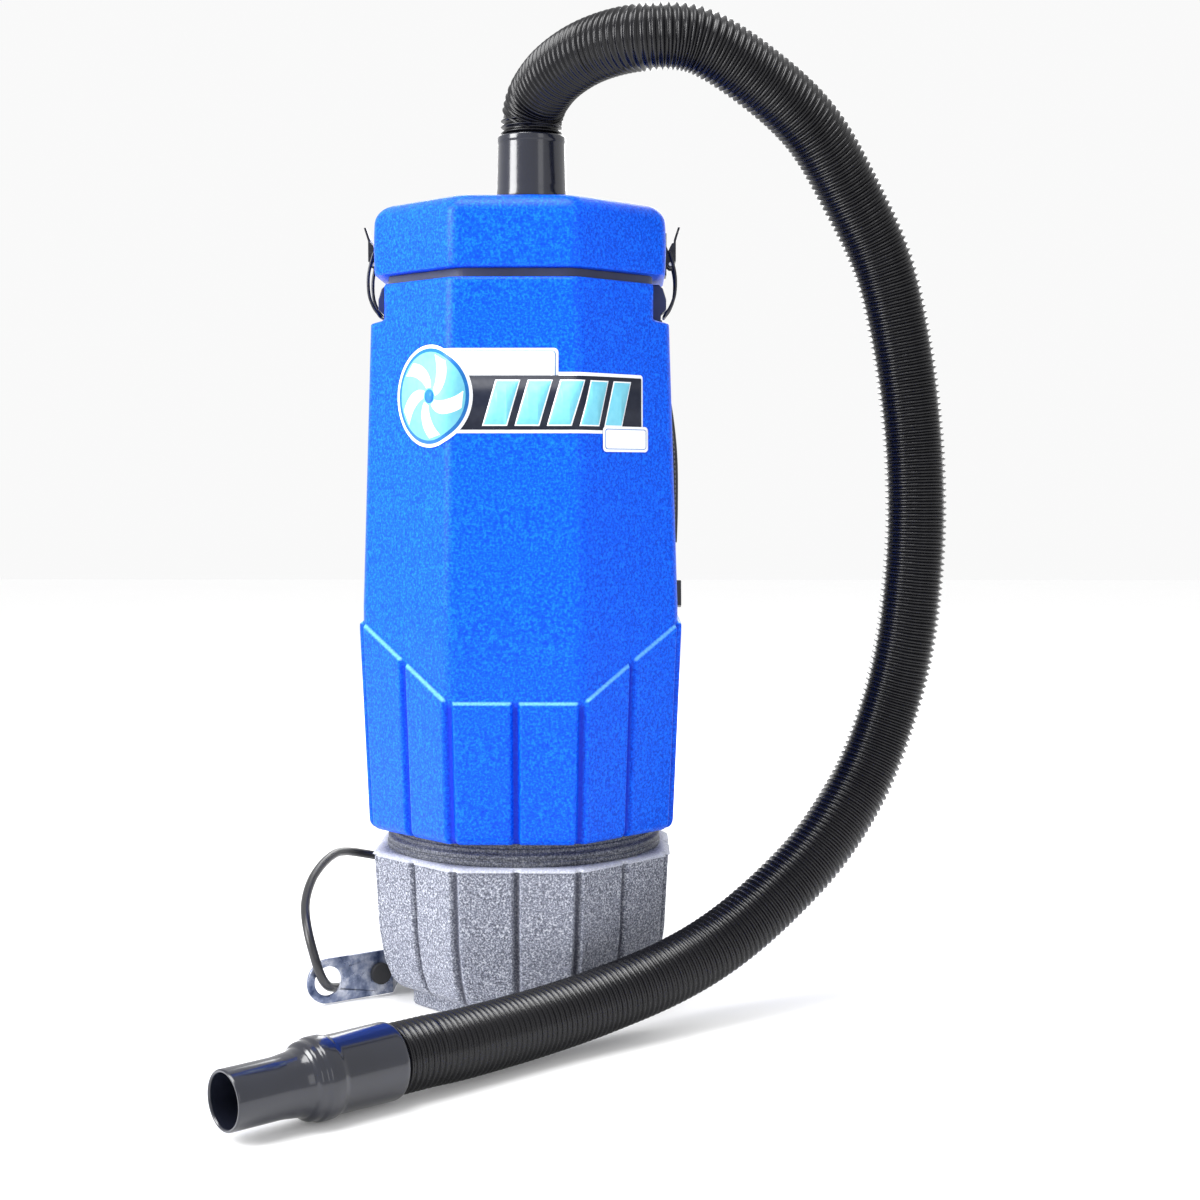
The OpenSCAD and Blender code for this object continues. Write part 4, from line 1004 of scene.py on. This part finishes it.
def stitches(name, places, normals, pitch=0.0042, length=0.0028, radius=0.0004):
    """A row of thread stitches: one bead for each, along a line of points with the surface's normal at each."""
    path, _ = resample(np.array(places), pitch)
    ups = resample_like(np.array(places), np.array(normals), len(path))
    verts, faces = [], []
    for i in range(len(path) - 1):
        along = unit(path[i + 1] - path[i])
        side = unit(np.cross(along, ups[i]))
        up = np.cross(side, along)
        base = len(verts)
        for a, r in ((-0.5, 0.35), (-0.2, 1), (0.2, 1), (0.5, 0.35)):
            verts += [path[i] + along * a * length + radius * r * (math.cos(k * math.pi / 3) * side
                      + math.sin(k * math.pi / 3) * up) for k in range(6)]
        faces += [tuple(base + v for v in f) for f in capped(4, 6)]
    return add_piece(name, verts, faces, THREAD, "root")


def resample_like(points, values, count):
    """Values given at points, read at even distances along them."""
    lengths = np.concatenate([[0], np.cumsum(np.linalg.norm(np.diff(points, axis=0), axis=1))])
    at = np.linspace(0, lengths[-1], count)
    return np.column_stack([np.interp(at, lengths, values[:, i]) for i in range(3)])


PAD_STEP = 0.005
EDGE_TUCK = 0.0135
EDGE_FALL = 0.72
SEAM_SINK, SEAM_WIDTH = 0.34, 0.0035
SEAM_LEVEL, EDGE_LEVEL, THREAD_LIFT = 0.66, 0.575, 0.0003


def cushion(name, route, across, widths, thick, rows, node, channels=(), piping=0.0028, swell=0.006, cross=22):
    """A padded strap along a route (metres): crowned faces, edge piping and sewn lines across it.

    across gives the width direction at each point, widths the width there, and channels the places (0 to 1) of the
    seams.
    """
    path = catmull(route, rows)
    ways = catmull(across, rows)
    sizes = catmull([[w, 0, 0] for w in widths], rows)[:, 0]
    lengths = np.concatenate([[0], np.cumsum(np.linalg.norm(np.diff(path, axis=0), axis=1))])
    count = int(lengths[-1] / PAD_STEP) + 1
    at = np.linspace(0, lengths[-1], count)
    path = np.column_stack([np.interp(at, lengths, path[:, i]) for i in range(3)])
    ways = np.column_stack([np.interp(at, lengths, ways[:, i]) for i in range(3)])
    sizes = np.interp(at, lengths, sizes)
    axes = []
    for way, tangent in zip(ways, np.gradient(path, axis=0)):
        t = unit(tangent)
        w = unit(way - t * np.dot(way, t))
        axes.append((w, np.cross(t, w)))
    crown = lambda u: thick / 2 * (1 - abs(u) ** 5 * EDGE_FALL)
    verts, pinned = [], []
    for i, (w, n) in enumerate(axes):
        end = min(at[i], lengths[-1] - at[i])
        tuck = 1 if end > EDGE_TUCK else math.sqrt(max(0.0, 1 - (1 - end / EDGE_TUCK) ** 2))
        half = sizes[i] / 2 * (1 - 0.16 * (1 - tuck))
        seam = min([abs(at[i] / lengths[-1] - c) * lengths[-1] for c in channels] or [1.0])
        sink = 1 - SEAM_SINK * math.exp(-(seam / SEAM_WIDTH) ** 2)
        for side in (1, -1):
            for k in range(cross):
                u = side * (-1 + 2 * (k + 0.5) / cross)
                rise = crown(u) * sink * (0.35 + 0.65 * tuck)
                verts.append(path[i] + w * u * half + n * side * rise)
                pinned.append(abs(u) > 0.9 or seam < 0.003 or end < 0.003)
    pad = add_piece(name, verts, capped(count, 2 * cross), PAD, None, [node])
    inflate(pad, pinned, 4.0, swell)
    smooth = pad.modifiers.new("smooth", "SUBSURF")
    smooth.levels = smooth.render_levels = 1
    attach(pad, "root")
    for side in (1, -1):
        for j, channel in enumerate(channels):
            i = int(round(channel * (count - 1)))
            w, n = axes[i]
            row = [path[i] + w * u * sizes[i] / 2 + n * side * (crown(u) * SEAM_LEVEL + THREAD_LIFT)
                   for u in np.linspace(-0.84, 0.84, 9)]
            stitches(f"{name}_seam_{j}_{'ab'[side > 0]}", row, [n * side] * 9)
        for edge_u in (-0.9, 0.9):
            span = range(4, count - 4)
            ups = [axes[i][1] * side for i in span]
            row = [path[i] + axes[i][0] * edge_u * sizes[i] / 2 + up * (thick / 2 * EDGE_LEVEL + THREAD_LIFT)
                   for i, up in zip(span, ups)]
            stitches(f"{name}_edge_{'ab'[edge_u > 0]}_{'ab'[side > 0]}", row, ups)
        rim = [path[i] + axes[i][0] * side * (sizes[i] / 2 - 0.0012) for i in range(2, count - 2)]
        tube(f"{name}_piping_{'ab'[side > 0]}", np.array(rim), piping / 2, WEB, "root")


def strap(name, route, across, width, thick, node=None):
    """Flat webbing with rounded, slightly raised edges."""
    path = catmull(route, 10)
    ways = catmull(across, 10)
    tangents = np.gradient(path, axis=0)
    outline = [(-1, -0.5), (-0.97, -0.95), (-0.9, -1.05), (-0.82, -0.9), (0, -0.85), (0.82, -0.9), (0.9, -1.05),
               (0.97, -0.95), (1, -0.5), (1, 0.5), (0.97, 0.95), (0.9, 1.05), (0.82, 0.9), (0, 0.85), (-0.82, 0.9),
               (-0.9, 1.05), (-0.97, 0.95), (-1, 0.5)]
    verts = []
    for i, centre in enumerate(path):
        t = unit(tangents[i])
        w = unit(ways[i] - t * np.dot(ways[i], t))
        n = np.cross(t, w)
        verts.extend(centre + w * u * width / 2 + n * v * thick / 2 for u, v in outline)
    return add_piece(name, verts, capped(len(path), len(outline)), WEB, "root",
                     [node] if node else (), 40)


def metres(points):
    return np.array(points, float) * MM


def step_on(route, distance):
    """The point a distance past a route's last one, in its last direction."""
    a, b = np.array(route[-2], float), np.array(route[-1], float)
    return b + unit(b - a) * distance


pm, wm = PAD_MID, WAIST_MID
STRAPS = {
    "left": [[-45, pm, 476], [-45.5, pm, 500], [-50, pm + 14, 520], [-56, pm + 38, 525], [-63, pm + 59, 508],
             [-70, pm + 69, 470], [-76, pm + 72, 420], [-80, pm + 69, 370], [-82, pm + 61, 325]],
    "right": [[45, pm, 476], [46, pm, 500], [54, pm + 14, 520], [64, pm + 38, 525], [76, pm + 59, 508],
              [88, pm + 69, 470], [96, pm + 72, 420], [98, pm + 69, 370], [98, pm + 60, 330]],
}
WEBBINGS = {
    "left": [[-82, pm + 50, 290], [-78, pm + 38, 255], [-70, pm + 25, 222], [-60, pm + 10, 190], [-54, 125.5, 168],
             [-52, 125.5, 150]],
    "right": [[104, pm + 50, 296], [94, pm + 41, 266], [73, pm + 27, 232], [60, pm + 12, 196], [54, 125.5, 168],
              [52, 125.5, 150]],
}
WAIST = [[76, wm], [88, wm + 2.5], [98, wm + 20], [103, wm + 50], [102, wm + 78], [92, wm + 102], [72, wm + 116]]


def across_of(route, reference=(1, 0, 0)):
    """Width direction at each point of a strap's route: level, and square to the route and to the pad's normal."""
    p = np.array(route, float)
    tangents = np.gradient(p, axis=0)
    out = []
    for t in tangents:
        t = unit(t)
        n = unit(np.cross(reference, t))
        out.append(unit(np.cross(t, n)))
    return out


def make_shoulder(side):
    route = STRAPS[side]
    widths = [0.050, 0.050, 0.051, 0.052, 0.052, 0.052, 0.051, 0.049, 0.046]
    cushion(f"shoulder_cushion_{side}", metres(route), across_of(route), widths, 0.0092, 10, f"shoulder_pad_{side}",
            (0.18, 0.36, 0.54, 0.72, 0.88), swell=0.0022)
    web = [step_on(route, 0.3), step_on(route, 9)] + WEBBINGS[side]
    strap(f"strap_web_{side}", metres(web), across_of(web), 0.0248, 0.0019, f"webbing_{side}")


def make_waist(side):
    s = 1 if side == "right" else -1
    route = [[s * x, y, 201.5] for x, y in WAIST]
    widths = [0.074, 0.077, 0.079, 0.080, 0.079, 0.074, 0.062]
    cushion(f"waist_cushion_{side}", metres(route), [(0, 0, 1)] * len(route), widths, 0.0092, 10, f"waist_pad_{side}",
            (0.2, 0.4, 0.6, 0.8), swell=0.0022)
    belt = [[s * x, y, 201] for x, y in (step_on(WAIST, 0.3), step_on(WAIST, 8), [48, wm + 125], [31, wm + 127])]
    return strap(f"belt_web_{side}", metres(belt), [(0, 0, 1)] * len(belt), 0.0376, 0.0022)


for side_name in ("left", "right"):
    make_shoulder(side_name)
belts = [make_waist(side_name) for side_name in ("left", "right")]
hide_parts("belt_webbing")

back_low, back_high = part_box("back_pad")
mid_y = (back_low.y + back_high.y) / 2
BACK_ROUTE = [[0, mid_y, z] for z in np.linspace(back_low.z + 0.002, back_high.z - 0.002, 7)]
BACK_WIDTHS = [0.118, 0.130, 0.134, 0.136, 0.134, 0.130, 0.118]
cushion("back_cushion", BACK_ROUTE, [(1, 0, 0)] * 7, BACK_WIDTHS, 0.0155, 10, "back_pad", (0.25, 0.5, 0.75),
        swell=0.0042, cross=30)


# ---------- room ----------

def make_floor():
    """A pale studio floor with a faint mottle."""
    s = Shader("floor_pale", 0.7, Emission_Color=(1, 1, 1, 1), Emission_Strength=0.09)
    s.colour(s.mix(s.noise(3, 3), (0.90, 0.90, 0.90), (0.93, 0.93, 0.93)))
    s.bump(s.noise(120, 3), 0.02, 0.3)
    work = bmesh.new()
    bmesh.ops.create_grid(work, x_segments=8, y_segments=8, size=6)
    mesh = bpy.data.meshes.new("floor")
    work.to_mesh(mesh)
    work.free()
    mesh.materials.append(s.material)
    floor = bpy.data.objects.new("floor", mesh)
    bpy.context.collection.objects.link(floor)
    world = bpy.data.worlds.new("studio")
    world.use_nodes = True
    background = world.node_tree.nodes["Background"]
    background.inputs["Color"].default_value = (1, 1, 1, 1)
    background.inputs["Strength"].default_value = 0.95
    bpy.context.scene.world = world


make_floor()
